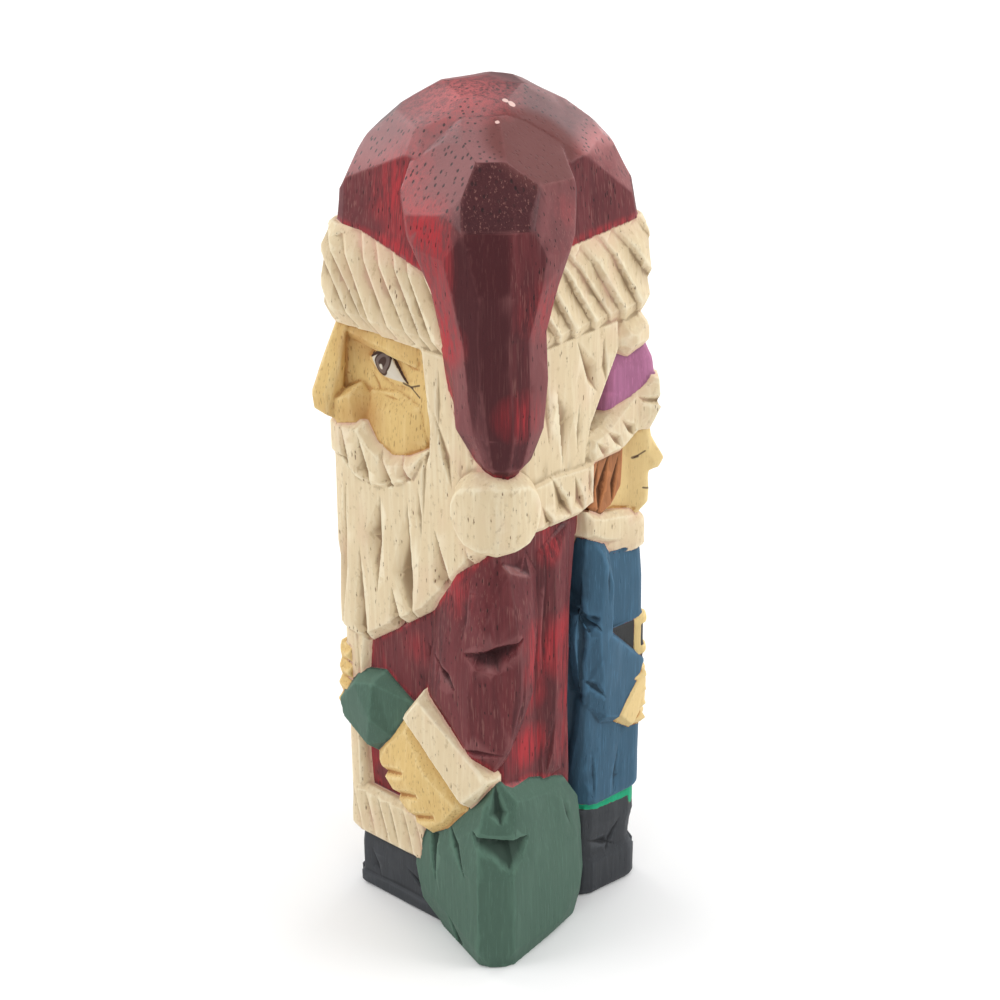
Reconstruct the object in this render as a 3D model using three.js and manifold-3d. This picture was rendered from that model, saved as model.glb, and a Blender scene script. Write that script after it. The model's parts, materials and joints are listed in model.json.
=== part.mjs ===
// A folk figurine in one piece: a gift bringer in a stocking cap and fur-trimmed coat, with a sack at the
// left side, and a child in a blue coat behind, back to back. Both are whittled out of one upright square
// post that stands corner first: the man's nose lies on the front corner, the cap's tail, the sleeve and
// the sack on the left corner, and the child on the back corner. Millimetres, +Z up, the man faces -Y.
import * as THREE from 'three';
import { ConvexGeometry } from 'three/addons/geometries/ConvexGeometry.js';
import { mergeVertices } from 'three/addons/utils/BufferGeometryUtils.js';
import Module from 'manifold-3d';

const wasm = await Module();
wasm.setup();

// Driving dimensions.
const TALL = 254; // whole height
const HALF = 43; // half the diagonal of the square post, to its sharp corner
const SIDE = HALF * Math.SQRT2; // width of one side of the post
const SOFT = 3.5; // how much of each side a rounded corner takes
const DEEP = 7; // how far each raised form is let into the body

// Corners of the post as distances round it from the left corner.
const FRONT = -SIDE;
const BACK = SIDE;

// Heights from the base, of the man and of the child.
const BOOT = 18;
const HEM_LOW = 19.5;
const HEM_TOP = 37;
const BEARD_TIP = 88.5;
const COLLAR_LOW = 134;
const COLLAR_TOP = 151;
const BRIM_LOW = 187.5;
const BRIM_TOP = 216;
const BELT_LOW = 79;
const BELT_TOP = 90;
const CHILD_COLLAR = 110.5;
const CHILD_BAND = 153;
const CHILD_CAP_TOP = 181;

const vec = (x, y, z) => new THREE.Vector3(x, y, z);

// The same scatter on every run, from -1 to 1.
const scatter = (n) => {
  const wave = Math.sin(n * 127.1 + 311.7) * 43758.5453;
  return (wave - Math.floor(wave)) * 2 - 1;
};

// A place on the post: `round` mm round it from the left corner (below 0 towards the front), `z` high and
// `out` proud of the side. Gives the point and the direction that faces out there.
function place([round, z, out = 0]) {
  const corner = Math.round(round / SIDE);
  const past = round - corner * SIDE;
  const at = (quarters) => vec(Math.cos((quarters * Math.PI) / 2), Math.sin((quarters * Math.PI) / 2), 0);
  const point = at(corner).multiplyScalar(HALF);
  const before = at(corner - 1).multiplyScalar(HALF).sub(point).normalize();
  const after = at(corner + 1).multiplyScalar(HALF).sub(point).normalize();
  const turn = THREE.MathUtils.clamp(past / SOFT, -1, 1);
  const facing = at(corner + turn / 2);
  point.addScaledVector(before, (SOFT * (1 - turn) ** 2) / 4);
  point.addScaledVector(after, (SOFT * (1 + turn) ** 2) / 4);
  if (Math.abs(past) > SOFT) point.addScaledVector(past < 0 ? before : after, Math.abs(past) - SOFT);
  return { point: point.addScaledVector(facing, out).setZ(z), facing };
}
const on = (spot) => place(spot).point;

// The same place on the far side, as in a mirror through the front and back corners.
const near = (spot) => spot;
const far = ([round, ...rest]) => [2 * FRONT - round, ...rest];

// A closed three.js geometry as a solid that can be joined and cut.
function solid(geometry) {
  const loose = geometry.index ? geometry.toNonIndexed() : geometry;
  const bare = new THREE.BufferGeometry().setAttribute('position', loose.getAttribute('position'));
  const merged = mergeVertices(bare, 1e-4);
  const vertProperties = merged.attributes.position.array;
  const triVerts = new Uint32Array(merged.index.array);
  return new wasm.Manifold(new wasm.Mesh({ numProp: 3, vertProperties, triVerts }));
}

const join = (solids) => solids.flat(Infinity).reduce((all, one) => all.add(one));
const cut = (body, tools) => body.subtract(join(tools));

// A whittled block: the flat-sided body round some points, given in space or as places on the post.
const block = (points) => solid(new ConvexGeometry(points));
const lump = (spots) => block(spots.map(on));

// A block raised on the post: `edge` are its outline's places, `crest` the places that stand highest.
const raised = (edge, crest) => lump([...edge, ...crest, ...edge.map(([round, z]) => [round, z, -DEEP])]);

// A skin over rings of equal count, closed at both ends.
function loft(rings) {
  const count = rings[0].length;
  const middle = (ring) => ring.reduce((sum, p) => sum.add(p), vec(0, 0, 0)).divideScalar(count);
  const points = [...rings.flat(), middle(rings[0]), middle(rings[rings.length - 1])];
  const top = (rings.length - 1) * count;
  const faces = [];
  for (let i = 0; i < count; i += 1) {
    const j = (i + 1) % count;
    faces.push(points.length - 2, j, i, points.length - 1, top + i, top + j);
    for (let a = 0; a < top; a += count) {
      const b = a + count;
      faces.push(a + i, a + j, b + j, a + i, b + j, b + i);
    }
  }
  return solid(new THREE.BufferGeometry().setFromPoints(points).setIndex(faces));
}

// A level outline through corners [x, y], given on the near side and mirrored to the far one. It runs
// from the front to the back. Each corner is bevelled, apart from those inside the body.
function outline(z, corners, bevel) {
  const nearSide = corners.map(([x, y]) => vec(x, y, z));
  const farSide = [...nearSide].reverse().map((p) => vec(-p.x, p.y, z));
  const whole = [...nearSide, ...farSide].filter((p, i, all) => p.distanceTo(all.at(i - 1)) > 1e-6);
  return whole.flatMap((p, i) => {
    const towards = (q) => p.clone().addScaledVector(q.clone().sub(p).normalize(), bevel);
    const inside = Math.abs(p.x) + Math.abs(p.y) < HALF - 9;
    return inside ? [p] : [towards(whole.at(i - 1)), towards(whole[(i + 1) % whole.length])];
  });
}

// A spot of a level outline, on the sharp-cornered post: [x, y] at `round` and `out`.
const flat = (round, out = 0) => [
  HALF + (out - Math.abs(round)) / Math.SQRT2,
  (Math.sign(round) * (Math.abs(round) + out)) / Math.SQRT2,
];

// A level ring round the whole post, `out` proud of its sides.
const ring = (z, out) =>
  [0, 1, 2, 3].flatMap((corner) => [-1, 0, 1].map((t) => on([corner * SIDE + t * SOFT, z, out])));

// Cuts each triangle where it crosses the upright line `at`, so that a flat shape can be bent there.
function creased(triangles, at) {
  const sideOf = (p) => (Math.abs(p.x - at) < 1e-5 ? 0 : Math.sign(p.x - at));
  const keep = (triangle, side) =>
    triangle.flatMap((p, i) => {
      const q = triangle[(i + 1) % 3];
      const kept = sideOf(p) === 0 || sideOf(p) === side ? [p] : [];
      if (sideOf(p) * sideOf(q) >= 0) return kept;
      const [left, right] = p.x < q.x ? [p, q] : [q, p];
      return [...kept, left.clone().lerp(right, (at - left.x) / (right.x - left.x))];
    });
  return triangles.flatMap((triangle) => {
    const sides = triangle.map(sideOf);
    if (!sides.includes(1) || !sides.includes(-1)) return [triangle];
    return [-1, 1].flatMap((side) => {
      const kept = keep(triangle, side);
      return kept.slice(2).map((p, i) => [kept[0], kept[i + 1], p]);
    });
  });
}

// A raised slab laid round the post: its outline as [round, z], how proud it is and how wide its bevel.
function slab(edge, out, bevel = 1.4) {
  const shape = new THREE.Shape(edge.map(([round, z]) => new THREE.Vector2(round, z)));
  const geometry = new THREE.ExtrudeGeometry(shape, {
    depth: DEEP + out - 2 * bevel,
    bevelThickness: bevel,
    bevelSize: bevel,
    bevelOffset: -bevel,
    bevelSegments: 1,
  });
  const flatPoints = geometry.translate(0, 0, bevel - DEEP).getAttribute('position');
  const points = Array.from({ length: flatPoints.count }, (_, i) => {
    return vec(0, 0, 0).fromBufferAttribute(flatPoints, i);
  });
  let triangles = Array.from({ length: points.length / 3 }, (_, i) => points.slice(3 * i, 3 * i + 3));
  const rounds = edge.map(([round]) => round);
  const first = Math.floor(Math.min(...rounds) / SIDE);
  const last = Math.ceil(Math.max(...rounds) / SIDE);
  for (let corner = first; corner <= last; corner += 1) {
    for (const t of [-1, 0, 1]) triangles = creased(triangles, corner * SIDE + t * SOFT);
  }
  const bent = triangles.flat().map((p) => {
    const shrink = 1 + (Math.min(p.z, 0) * Math.SQRT2) / HALF;
    return on([p.x, p.y, Math.max(p.z, 0)]).multiply(vec(shrink, shrink, 1));
  });
  return solid(new THREE.BufferGeometry().setFromPoints(bent));
}

// An outline that is the same on both sides of the front or the back corner.
const twin = (half) => [...half, ...[...half].reverse().map(far)];
const twinBack = (half) => [...half, ...[...half].reverse().map(([round, z]) => [2 * BACK - round, z])];

// A chisel notch: the outline that it has at the surface, and its deepest place.
const notch = (edge, deepest) =>
  lump([...edge, ...edge.map(([round, z, out = 0]) => [round, z, out + 4]), deepest]);

// A V-shaped knife stroke through places on the post, `wide` across at the surface and `deep` in.
function stroke(spots, wide, deep) {
  const proud = 2.5;
  const broad = (wide / 2) * (1 + proud / deep);
  const bends = [-SOFT, 0, SOFT];
  return spots.slice(1).flatMap((end, i) => {
    const start = spots[i];
    const corner = Math.round((start[0] + end[0]) / 2 / SIDE) * SIDE;
    const parts = bends
      .map((bend) => (corner + bend - start[0]) / (end[0] - start[0]))
      .filter((t) => t > 0.02 && t < 0.98)
      .sort((a, b) => a - b);
    const along = [0, ...parts, 1].map((t) => start.map((value, k) => value + (end[k] - value) * t));
    return along.slice(1).map((stop, k) => {
      const ends = [along[k], stop].map(place);
      const way = ends[1].point.clone().sub(ends[0].point).normalize();
      return block(
        ends.flatMap(({ point, facing }) => {
          const across = way.clone().cross(facing).normalize();
          return [
            point.clone().addScaledVector(facing, proud).addScaledVector(across, broad),
            point.clone().addScaledVector(facing, proud).addScaledVector(across, -broad),
            point.clone().addScaledVector(facing, -deep),
          ];
        }),
      );
    });
  });
}

// Strokes side by side round the post from `first` to `last`, each leaning by `lean` over its height.
function strokes({ first, last, gap, low, high, lean, out, wide = 2, deep = 0.9, seed = 0, side = near }) {
  const count = Math.round((last - first) / gap);
  return Array.from({ length: count }, (_, i) => {
    const n = seed + i * 3;
    const round = first + (i + 0.5 + 0.25 * scatter(n)) * ((last - first) / count);
    const foot = low + (high - low) * (0.12 + 0.12 * scatter(n + 1));
    const head = high - (high - low) * (0.12 + 0.12 * scatter(n + 2));
    const tilt = lean * (1 + 0.3 * scatter(n + 5));
    const ends = [[round - tilt / 2, head, out], [round + tilt / 2, foot, out]].map(side);
    return stroke(ends, wide * (1 + 0.3 * scatter(n + 7)), deep);
  });
}

// A round lump whittled flat all over: planes that touch an egg, in rows from low to high. `square` above
// 2 draws the egg's plan towards the post's square.
function whittled(middle, radii, rows, { square = 2, seed = 0, turned = 0 } = {}) {
  const [rx, ry, rz] = radii;
  const signs = [-1, 1];
  const corners = signs.flatMap((x) => signs.flatMap((y) => signs.map((z) => vec(x * rx, y * ry, z * rz))));
  let body = block(corners);
  rows.forEach(({ lift, count }, row) => {
    for (let i = 0; i < count; i += 1) {
      const n = seed + row * 40 + i;
      const turn = turned + ((i + 0.18 * scatter(n) + 0.5 * (row % 2)) / count) * 2 * Math.PI;
      const raise = THREE.MathUtils.degToRad(lift + 4 * scatter(n + 17));
      const face = vec(Math.cos(turn) * Math.cos(raise), Math.sin(turn) * Math.cos(raise), Math.sin(raise));
      const plan = (Math.abs(rx * face.x) ** square + Math.abs(ry * face.y) ** square) ** (1 / square);
      const reach = Math.hypot(plan, rz * face.z) * (1 - 0.012 * (1 + scatter(n + 31)));
      body = body.trimByPlane([-face.x, -face.y, -face.z], -reach);
    }
  });
  return body.translate(middle);
}

// The forms of the figure, each a solid, joined at the end.
const forms = [];
const add = (name, ...bodies) => forms.push({ name, body: join(bodies) });

// The man's coat, down the front, left and right corners, with a free edge that stops short of the child.
const coatLevels = [
  { z: 14, front: 38, out: -2.2, edge: 35 },
  { z: 50, front: 41, out: -1.2, edge: 34 },
  { z: 74, front: 41.5, out: -0.8, edge: 32.5 },
  { z: 106, front: 41.5, out: -0.8, edge: 33.5 },
  { z: 130, front: 41, out: -0.8, edge: 36 },
  { z: 152, front: 39, out: -1.5, edge: 36.5 },
];
const coatRing = ({ z, front, out, edge }) => {
  return outline(z, [[0, -front], flat(0, out), flat(edge, out), flat(edge + 1.5, -6), [0, 14]], 1.6);
};
add('coat', loft(coatLevels.map(coatRing)));

// The fold of the coat behind the sleeve.
const foldEdge = [[17, 127, 0], [31, 133, 0], [29, 100, 0], [27.5, 52, 0], [19, 52, 0], [17, 90, 0]];
const foldCrest = [[23, 122, 1.6], [23.5, 90, 1.8], [23, 58, 1.4]];
add('fold', raised(foldEdge, foldCrest));

// The fur strip down the front, and the fur hem round the coat.
const trim = slab(twin([[FRONT + 6, HEM_TOP - 3], [FRONT + 6.6, 60], [FRONT + 9.4, BEARD_TIP + 2]]), 0.9, 1.2);
const trimStroke = { first: FRONT + 1, last: FRONT + 6, gap: 5, low: 38, high: 60, lean: 2, out: 0.9 };
const trimStrokes = [near, far].map((side) => strokes({ ...trimStroke, seed: 11, side }));
add('trim', cut(trim, trimStrokes));

const hemEnd = 2 * FRONT - 36;
const hem = slab([[-27, HEM_LOW], [hemEnd, HEM_LOW], [hemEnd, HEM_TOP], [-27, HEM_TOP]], 0.9, 1.8);
const hemStroke = { low: 20, high: 35.5, lean: 5, out: 0.9 };
const hemStrokes = [
  strokes({ ...hemStroke, first: FRONT, last: -24, gap: 4.8, seed: 60 }),
  strokes({ ...hemStroke, first: hemEnd + 2, last: FRONT, gap: 11, seed: 80 }),
];
add('hem', cut(hem, hemStrokes));

// Boots, with a sole and a split between them at the front corner.
const bootLevels = [
  { z: 0, out: -1 },
  { z: 1.2, out: 0 },
  { z: 4.4, out: 0 },
  { z: 5.2, out: -1 },
  { z: 13, out: -0.6 },
  { z: BOOT + 3, out: -2.6 },
];
const bootRing = ({ z, out }) => outline(z, [[0, -HALF - out], flat(0, out), flat(36, out), [0, 14]], 3);

// A wedge that parts two boots at a corner of the post: from its edge `deep` in to `open` past the corner.
const bootSplit = (deep, open, high) => {
  const mouth = [-1, 1].flatMap((x) => [vec(x * 2.6, open, -1), vec(x * 1.6, open, high)]);
  return block([vec(0, deep, -1), vec(0, deep, high - 2), ...mouth]);
};
add('boots', cut(loft(bootLevels.map(bootRing)), [bootSplit(-34, -46, BOOT + 4)]));

// The man's head between the whiskers and the fur band: how proud it is at the socket, cheek and temple.
const faceLevels = [
  { z: 140, front: 38, socket: -3, cheek: -2.5, temple: -2 },
  { z: 152, front: 41, socket: -2, cheek: -1.6, temple: -1.6 },
  { z: 163, front: 42, socket: -2.4, cheek: -1.2, temple: -1 },
  { z: 171, front: 42, socket: -3.8, cheek: -2.4, temple: -1.4 },
  { z: 178, front: 41.5, socket: -4.6, cheek: -3.6, temple: -1.8 },
  { z: 182, front: 41, socket: -3.6, cheek: -2.8, temple: -1.8 },
  { z: 191, front: 40, socket: -1.6, cheek: -1.4, temple: -1.4 },
];
const faceRing = ({ z, front, socket, cheek, temple }) => {
  const spots = [[0, -front], flat(FRONT + 13, socket), flat(FRONT + 23, cheek), flat(FRONT + 36, temple)];
  return outline(z, [...spots, [14, 12], [0, 16]], 1.5);
};
add('face', loft(faceLevels.map(faceRing)));

// Nose: bridge, tip and wings, the same on both sides.
const bothSides = (points) => points.flatMap(([x, y, z]) => [vec(x, y, z), vec(-x, y, z)]);
const bridge = [[1.6, -41.6, 187], [4.4, -38, 186], [1.8, -45, 177], [4.6, -40, 177]];
const noseTip = [[2.4, -50.2, 164.5], [2.6, -49.4, 160.6], [1.5, -42.5, 156.4]];
const nostril = [[6.6, -45, 165], [7.6, -42, 160.5], [6, -40, 157]];
add('nose', block(bothSides([...bridge, ...noseTip, ...nostril])));

const browEdge = [
  [-58, 182.5, -1.6], [-50, 181, -1.6], [-40, 180, -1.8], [-31, 179, -2], [-29, 189, -1.5], [-59, 189, -1.5],
];
const browCrest = [[-55, 184.5, -0.2], [-44, 183.2, 0], [-34, 182.5, -0.6]];
const cheekEdge = [
  [-53, 163, -2], [-49, 168, -2.2], [-38, 170, -1.8], [-29.5, 168, -1],
  [-26.5, 158, -0.6], [-31, 149, -0.6], [-42, 147, -0.6], [-51, 155, -1],
];
const cheekCrest = [
  [-44, 164, 0.2], [-35, 164.5, 0.4], [-31, 158, 0.6], [-36, 152, 1], [-44, 154, 0.8], [-49, 159.5, -0.2],
];
const eyeEdge = [
  [-50, 179.2, -3.2], [-46.6, 180.6, -3.2], [-42.4, 178.2, -3.2],
  [-39, 172.4, -3], [-43, 173, -3.4], [-47.6, 175.4, -3.6],
];
const eyeCrest = [[-46, 177.8, -2.2], [-43.4, 175.4, -2.2]];
const crowsFoot = [
  [[-37, 173.5, -1.2], [-31.5, 170.5, -0.8]],
  [[-36.5, 175.5, -1.4], [-31, 175.5, -1]],
];
for (const side of [near, far]) {
  const wrinkles = crowsFoot.map((line) => stroke(line.map(side), 1, 0.6));
  add('brow', raised(browEdge.map(side), browCrest.map(side)));
  add('cheek', cut(raised(cheekEdge.map(side), cheekCrest.map(side)), wrinkles));
  add('eye', raised(eyeEdge.map(side), eyeCrest.map(side)));
}

// Beard, whiskers and the hair of the temples, with long V strokes.
const whiskers = [
  [-51.2, BEARD_TIP - 0.3], [-38, 97.6], [-25.4, 106.6], [-16.1, 117.1], [-7.5, 127.6], [-1, 134], [-1, 152],
  [-13, BRIM_LOW + 2], [-27, BRIM_LOW + 2], [-25, 172], [-24.5, 158], [-30, 149],
];
const beard = slab(twin([[-59, BEARD_TIP + 0.5], ...whiskers]), 1.1, 1.1);
const locks = [
  [[-57.6, 138, 1.1], [-57.2, 94, 1.3]],
  [[-54, 131, 1.1], [-52.2, 90, 1.1]],
  [[-50.6, 139, 1.1], [-48.8, 104, 1.1]],
  [[-47.4, 128, 1.1], [-45, 93, 1.1]],
  [[-44, 138, 1.1], [-41.4, 108, 1.1]],
  [[-41, 122, 1.1], [-38.6, 97, 1.1]],
  [[-37, 139, 1.1], [-34.8, 110, 1.1]],
  [[-34, 126, 1.1], [-31.6, 103, 1.1]],
  [[-30.4, 141, 1.1], [-27.4, 113, 1.1]],
  [[-26.4, 130, 1.1], [-23.4, 108, 1.1]],
  [[-23, 144, 1.1], [-20.4, 118, 1.1]],
  [[-19, 134, 1.1], [-15.8, 117, 1.1]],
  [[-15, 140, 1.1], [-12.4, 124, 1.1]],
  [[-19.8, 186, 1.1], [-20.6, 150, 1.1]],
  [[-23.4, 170, 1.1], [-23, 148, 1.1]],
];
const farLocks = locks.filter((_, i) => i % 4 === 0).map((lock) => lock.map(far));
const beardStrokes = [...locks, ...farLocks].map((lock, i) => stroke(lock, 2.3 + 0.5 * scatter(i), 1.2));
add('beard', cut(beard, beardStrokes));

// Moustache: a roll that dips from under the nose to below the cheek and rises to the temple.
const moustache = slab(
  twin([
    [-57.5, 145], [-52.1, 140.6], [-45, 139.6], [-38.6, 141], [-31, 144.6], [-26, 150], [-24.4, 157.4],
    [-31.5, 153.4], [-38.2, 152], [-44, 154.6], [-49, 159.4], [-57.5, 158.6],
  ]),
  2.4,
  1.8,
);
const moustacheStroke = { first: -58, last: -27, low: 140.5, high: 155, lean: 3.4, out: 2.4, wide: 2.2 };
const moustacheStrokes = [
  strokes({ ...moustacheStroke, gap: 5.2, seed: 33 }),
  strokes({ ...moustacheStroke, gap: 14, seed: 33, side: far }),
];
add('moustache', cut(moustache, moustacheStrokes));

// Hair on the child's side of the head, and the fur collar under it.
const hairEdge = [
  [-14, BRIM_LOW + 2], [49.4, BRIM_LOW + 2], [50, 178.7], [42.8, 164], [39.4, 157.8], [37.4, 148], [-6, 148],
];
const hairLocks = [
  [[-6, 184, 2.2], [-3, 152, 2.2]],
  [[1.6, 178, 2.2], [2.6, 153, 2.2]],
  [[8, 186, 2.2], [8.6, 155, 2.2]],
  [[15, 182, 2.2], [14.6, 154, 2.2]],
  [[22, 187, 2.2], [20.6, 153, 2.2]],
  [[27, 180, 2.2], [24.4, 156, 2.2]],
  [[31.5, 186, 2.2], [28.6, 154, 2.2]],
  [[36, 178, 2.2], [32, 153, 2.2]],
  [[40.5, 186, 2.2], [35.6, 160, 2.2]],
  [[44.8, 180, 2.2], [39.8, 163, 2.2]],
];
const collarEdge = [
  [-5, COLLAR_TOP], [-5, 136], [14.9, COLLAR_LOW + 0.5], [33, COLLAR_LOW - 0.4],
  [39.4, 135.4], [39.4, COLLAR_TOP - 1], [22, COLLAR_TOP + 1],
];
const collarStroke = { last: 38, low: 135, high: 150.5, lean: 4, out: 3, wide: 2.2, seed: 90 };
for (const side of [near, far]) {
  const plain = side === far;
  const hair = slab(hairEdge.map(side), 2.2, 1.2);
  const cuts = hairLocks.filter(([[round]], i) => (plain ? i % 4 === 1 : round > 18));
  add('hair', cut(hair, cuts.map((lock) => stroke(lock.map(side), 3, 1.3))));
  const collar = slab(collarEdge.map(side), 3, 2.2);
  add('collar', cut(collar, strokes({ ...collarStroke, first: plain ? -3 : 14, gap: plain ? 14 : 5, side })));
}

// Fur band of the cap, with leaning strokes all round.
const bandLevels = [[BRIM_LOW - 0.5, 1.6], [BRIM_LOW + 4.5, 4.6], [BRIM_TOP - 7, 4.6], [BRIM_TOP, 1.4]];
const fur = loft(bandLevels.map(([z, out]) => ring(z, out)));
const furStroke = { low: BRIM_LOW + 0.5, high: BRIM_TOP - 1.5, lean: 11.5, out: 4.6, wide: 2.6, deep: 1.2 };
const furStrokes = [
  strokes({ ...furStroke, first: FRONT, last: -16, gap: 4.8, seed: 7 }),
  strokes({ ...furStroke, first: 14, last: BACK, gap: 4.8, seed: 40 }),
  strokes({ ...furStroke, first: BACK, last: BACK + 2 * SIDE, gap: 15, seed: 90 }),
];
add('fur band', cut(fur, furStrokes));

// Crown of the cap.
const crownRows = [
  { lift: 6, count: 12 },
  { lift: 27, count: 12 },
  { lift: 46, count: 10 },
  { lift: 64, count: 8 },
  { lift: 80, count: 4 },
];
const crownHigh = TALL - BRIM_TOP;
const crownShape = { square: 6, seed: 5, turned: Math.PI / 4 };
const crown = whittled([0, 0, BRIM_TOP], [41.4, 41.4, crownHigh + 0.6], crownRows, crownShape);
add('crown', crown.trimByPlane([0, 0, 1], BRIM_TOP - 6).trimByPlane([0, 0, -1], -TALL));

// The cap's tail: it starts on the crown, bends over the left corner and hangs down to a point.
const tailStops = [
  { x: 2, z: 242, left: -19, right: 19, thick: 7, lean: 85 },
  { x: 17, z: 242, left: -24, right: 24, thick: 9.5, lean: 66 },
  { x: 30, z: 235, left: -25, right: 24.5, thick: 10.5, lean: 45 },
  { x: 37.5, z: 223, left: -22.6, right: 22.6, thick: 11.5, lean: 20 },
  { x: 39.5, z: 209, left: -17, right: 18, thick: 11, lean: 4 },
  { x: 40.5, z: 197, left: -14.4, right: 14.4, thick: 10, lean: 0 },
  { x: 41, z: 184, left: -12.6, right: 14.6, thick: 9.4, lean: 0 },
  { x: 41, z: 170, left: -10.8, right: 13.6, thick: 8.8, lean: -3 },
  { x: 41.5, z: 161, left: -6.4, right: 9.8, thick: 7, lean: -6 },
  { x: 42.5, z: 155.5, left: -0.4, right: 4, thick: 3, lean: -6 },
];
const tailSection = [
  [1, -0.7], [0.96, 0.1], [0.64, 0.72], [0.24, 1], [-0.32, 0.96], [-0.62, 0.66], [-0.95, 0], [-1, -0.7],
];
const tailRing = ({ x, z, left, right, thick, lean }, i) => {
  const facing = vec(Math.cos((lean * Math.PI) / 180), 0, Math.sin((lean * Math.PI) / 180));
  return tailSection.map(([across, out], k) => {
    const y = (left + right) / 2 + ((across + 0.05 * scatter(i * 8 + k)) * (right - left)) / 2;
    return vec(x, y, z).addScaledVector(facing, (out + 0.05 * scatter(i * 8 + k + 300)) * thick);
  });
};
const tail = loft(tailStops.map(tailRing));
const tailNotches = [
  notch([[-13, 178, 3], [-6.6, 177, 8], [-12, 169.5, 4]], [-10.4, 174, 3]),
  notch([[13, 202, 5], [17, 200, 3], [14, 193, 4]], [13.4, 198.4, 3]),
];
add('tail', cut(tail, tailNotches));

// Pompom at the tail's end.
const pompomRows = [
  { lift: -62, count: 5 },
  { lift: -34, count: 8 },
  { lift: 0, count: 9 },
  { lift: 34, count: 8 },
  { lift: 62, count: 5 },
];
const pompom = whittled([42.5, -0.7, 146], [10.5, 12, 13], pompomRows, { seed: 70 });
const pompomNotches = [
  notch([[-14, 154, 3], [-8, 153.5, 8], [-13, 150.5, 3]], [-10, 152, 4]),
  notch([[-14, 145, 3], [-9, 146, 8], [-13, 141.5, 3]], [-10.5, 144, 4]),
  notch([[13, 152, 3], [8, 151, 8], [13, 148.5, 3]], [10, 150, 4]),
  notch([[-7, 133, 6], [-4, 137, 9], [-2, 132, 6]], [-4, 134, 4]),
  notch([[6, 132, 6], [7.5, 137, 8], [11, 135, 5]], [8, 134.5, 4]),
];
add('pompom', cut(pompom, pompomNotches));

// The left arm: a hanging upper arm, a forearm that comes forward, a fur cuff and a fist with four fingers.
const upperEdge = [
  [-24, 129, -2], [0, 131, -1], [16, 130, -1], [18, 112, -0.6],
  [18, 92, -0.6], [-24, 84, -1], [-25, 106, -1.5],
];
const upperCrest = [
  [-12, 124, 2], [3, 125, 2.8], [12, 120, 2.4], [-14, 108, 3.2],
  [3, 106, 4.4], [13, 102, 3.2], [14, 94, 3.2], [-16, 96, 3.2],
];
const foreEdge = [
  [-24, 101, -1], [-27.5, 80, 0.5], [-14, 70.5, 0.6], [-3, 61.5, 0.6],
  [9, 75, 0.2], [18, 92, -0.4], [12, 104, -0.4],
];
const foreCrest = [
  [-18, 96, 3.6], [-22, 82, 4], [-8, 68, 4], [3, 74, 4], [12, 92, 3.4], [3, 98, 4.4], [-9, 84, 5],
];
const sleeveCuts = [
  notch([[-5, 99.6, 4], [7.6, 105, 4], [0.5, 94.5, 4.6]], [0, 97.5, 0.4]),
  notch([[-22.4, 97, 2.5], [-20, 95, 3], [-12.6, 87, 4.4]], [-17.5, 91.5, 1.6]),
  notch([[-10.5, 67, 4], [-1.4, 72.6, 4], [-1.6, 62, 3]], [-3.4, 66.4, 1.6]),
  ...stroke([[0.4, 96, 4.4], [-0.6, 74, 4.4]], 2.4, 1.1),
];
add('sleeve', cut(join([raised(upperEdge, upperCrest), raised(foreEdge, foreCrest)]), sleeveCuts));

const cuffEdge = [[-27, 81.5, 2], [-35, 70.4, 2], [-8.6, 48.4, 2], [0.8, 61.5, 1.4]];
const cuffCrest = [[-26.6, 79, 5.6], [-32.6, 71, 5.6], [-10, 51, 5.6], [-2, 61.4, 5.2]];
const cuffStrokes = [0.2, 0.42, 0.62, 0.82].map((t) => {
  return stroke([[-27.5 + 23 * t, 79 - 18 * t, 5.6], [-32.2 + 23 * t, 72.5 - 19 * t, 5.6]], 1.4, 0.6);
});
add('cuff', cut(raised(cuffEdge, cuffCrest), cuffStrokes));

const palmEdge = [
  [-34, 70, 1.4], [-43, 58.5, 1.4], [-46, 50, 1.4], [-38, 37, 1.4],
  [-29, 32.8, 1.4], [-17, 37, 1.4], [-9, 47, 1.4],
];
const palmCrest = [
  [-33, 65, 5], [-39, 57, 5], [-38, 44, 5.4], [-28, 37, 5], [-18, 41, 5], [-14, 48, 5.4], [-27, 54, 6.4],
];
const fingerWay = THREE.MathUtils.degToRad(33);
function finger([round, z]) {
  const spot = (along, across, out) => [
    round + Math.cos(fingerWay) * along + Math.sin(fingerWay) * across,
    z + Math.sin(fingerWay) * along - Math.cos(fingerWay) * across,
    out,
  ];
  const half = 2.9;
  const sides = [-half, half].flatMap((across) => [
    spot(0, 0.7 * across, 3.6), spot(3, across, 4.8), spot(11, across, 5),
    spot(-0.6, 0.7 * across, 0), spot(11, across, -3),
  ]);
  return lump([...sides, spot(1.2, 0, 5.4), spot(4.5, 0, 6.8), spot(10, 0, 7)]);
}
const fingertips = [[-48.6, 50.5], [-46.2, 44], [-42, 38.6], [-36, 34.8]];
add('hand', raised(palmEdge, palmCrest), ...fingertips.map(finger));

// The right arm, plainer, lies higher and comes round to the front corner.
const farSleeveEdge = [
  [-22, 128, -2], [14, 130, -2], [17, 96, -1.4], [8, 66, -1], [-28, 62, -1], [-30, 88, -1.4],
];
const farSleeveCrest = [[-6, 120, 3], [8, 116, 2.6], [-2, 92, 4], [6, 76, 3], [-24, 68, 2.6], [-25, 82, 3]];
const farCuffEdge = [[-27, 60.5, 1], [-37, 60.5, 1], [-38, 88, 1], [-28, 89.5, 1]];
const farCuffCrest = [[-29, 63, 4.4], [-35, 63, 4.4], [-36, 85.5, 4.4], [-30, 86.5, 4.4]];
const farPalmEdge = [[-36, 63, 0], [-52, 62, 0], [-58, 66, 0], [-58, 84, 0], [-36, 86, 0]];
const farPalmCrest = [[-38, 66, 3.6], [-52, 67, 3.4], [-53, 81, 3.2], [-38, 83, 3.6]];
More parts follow.
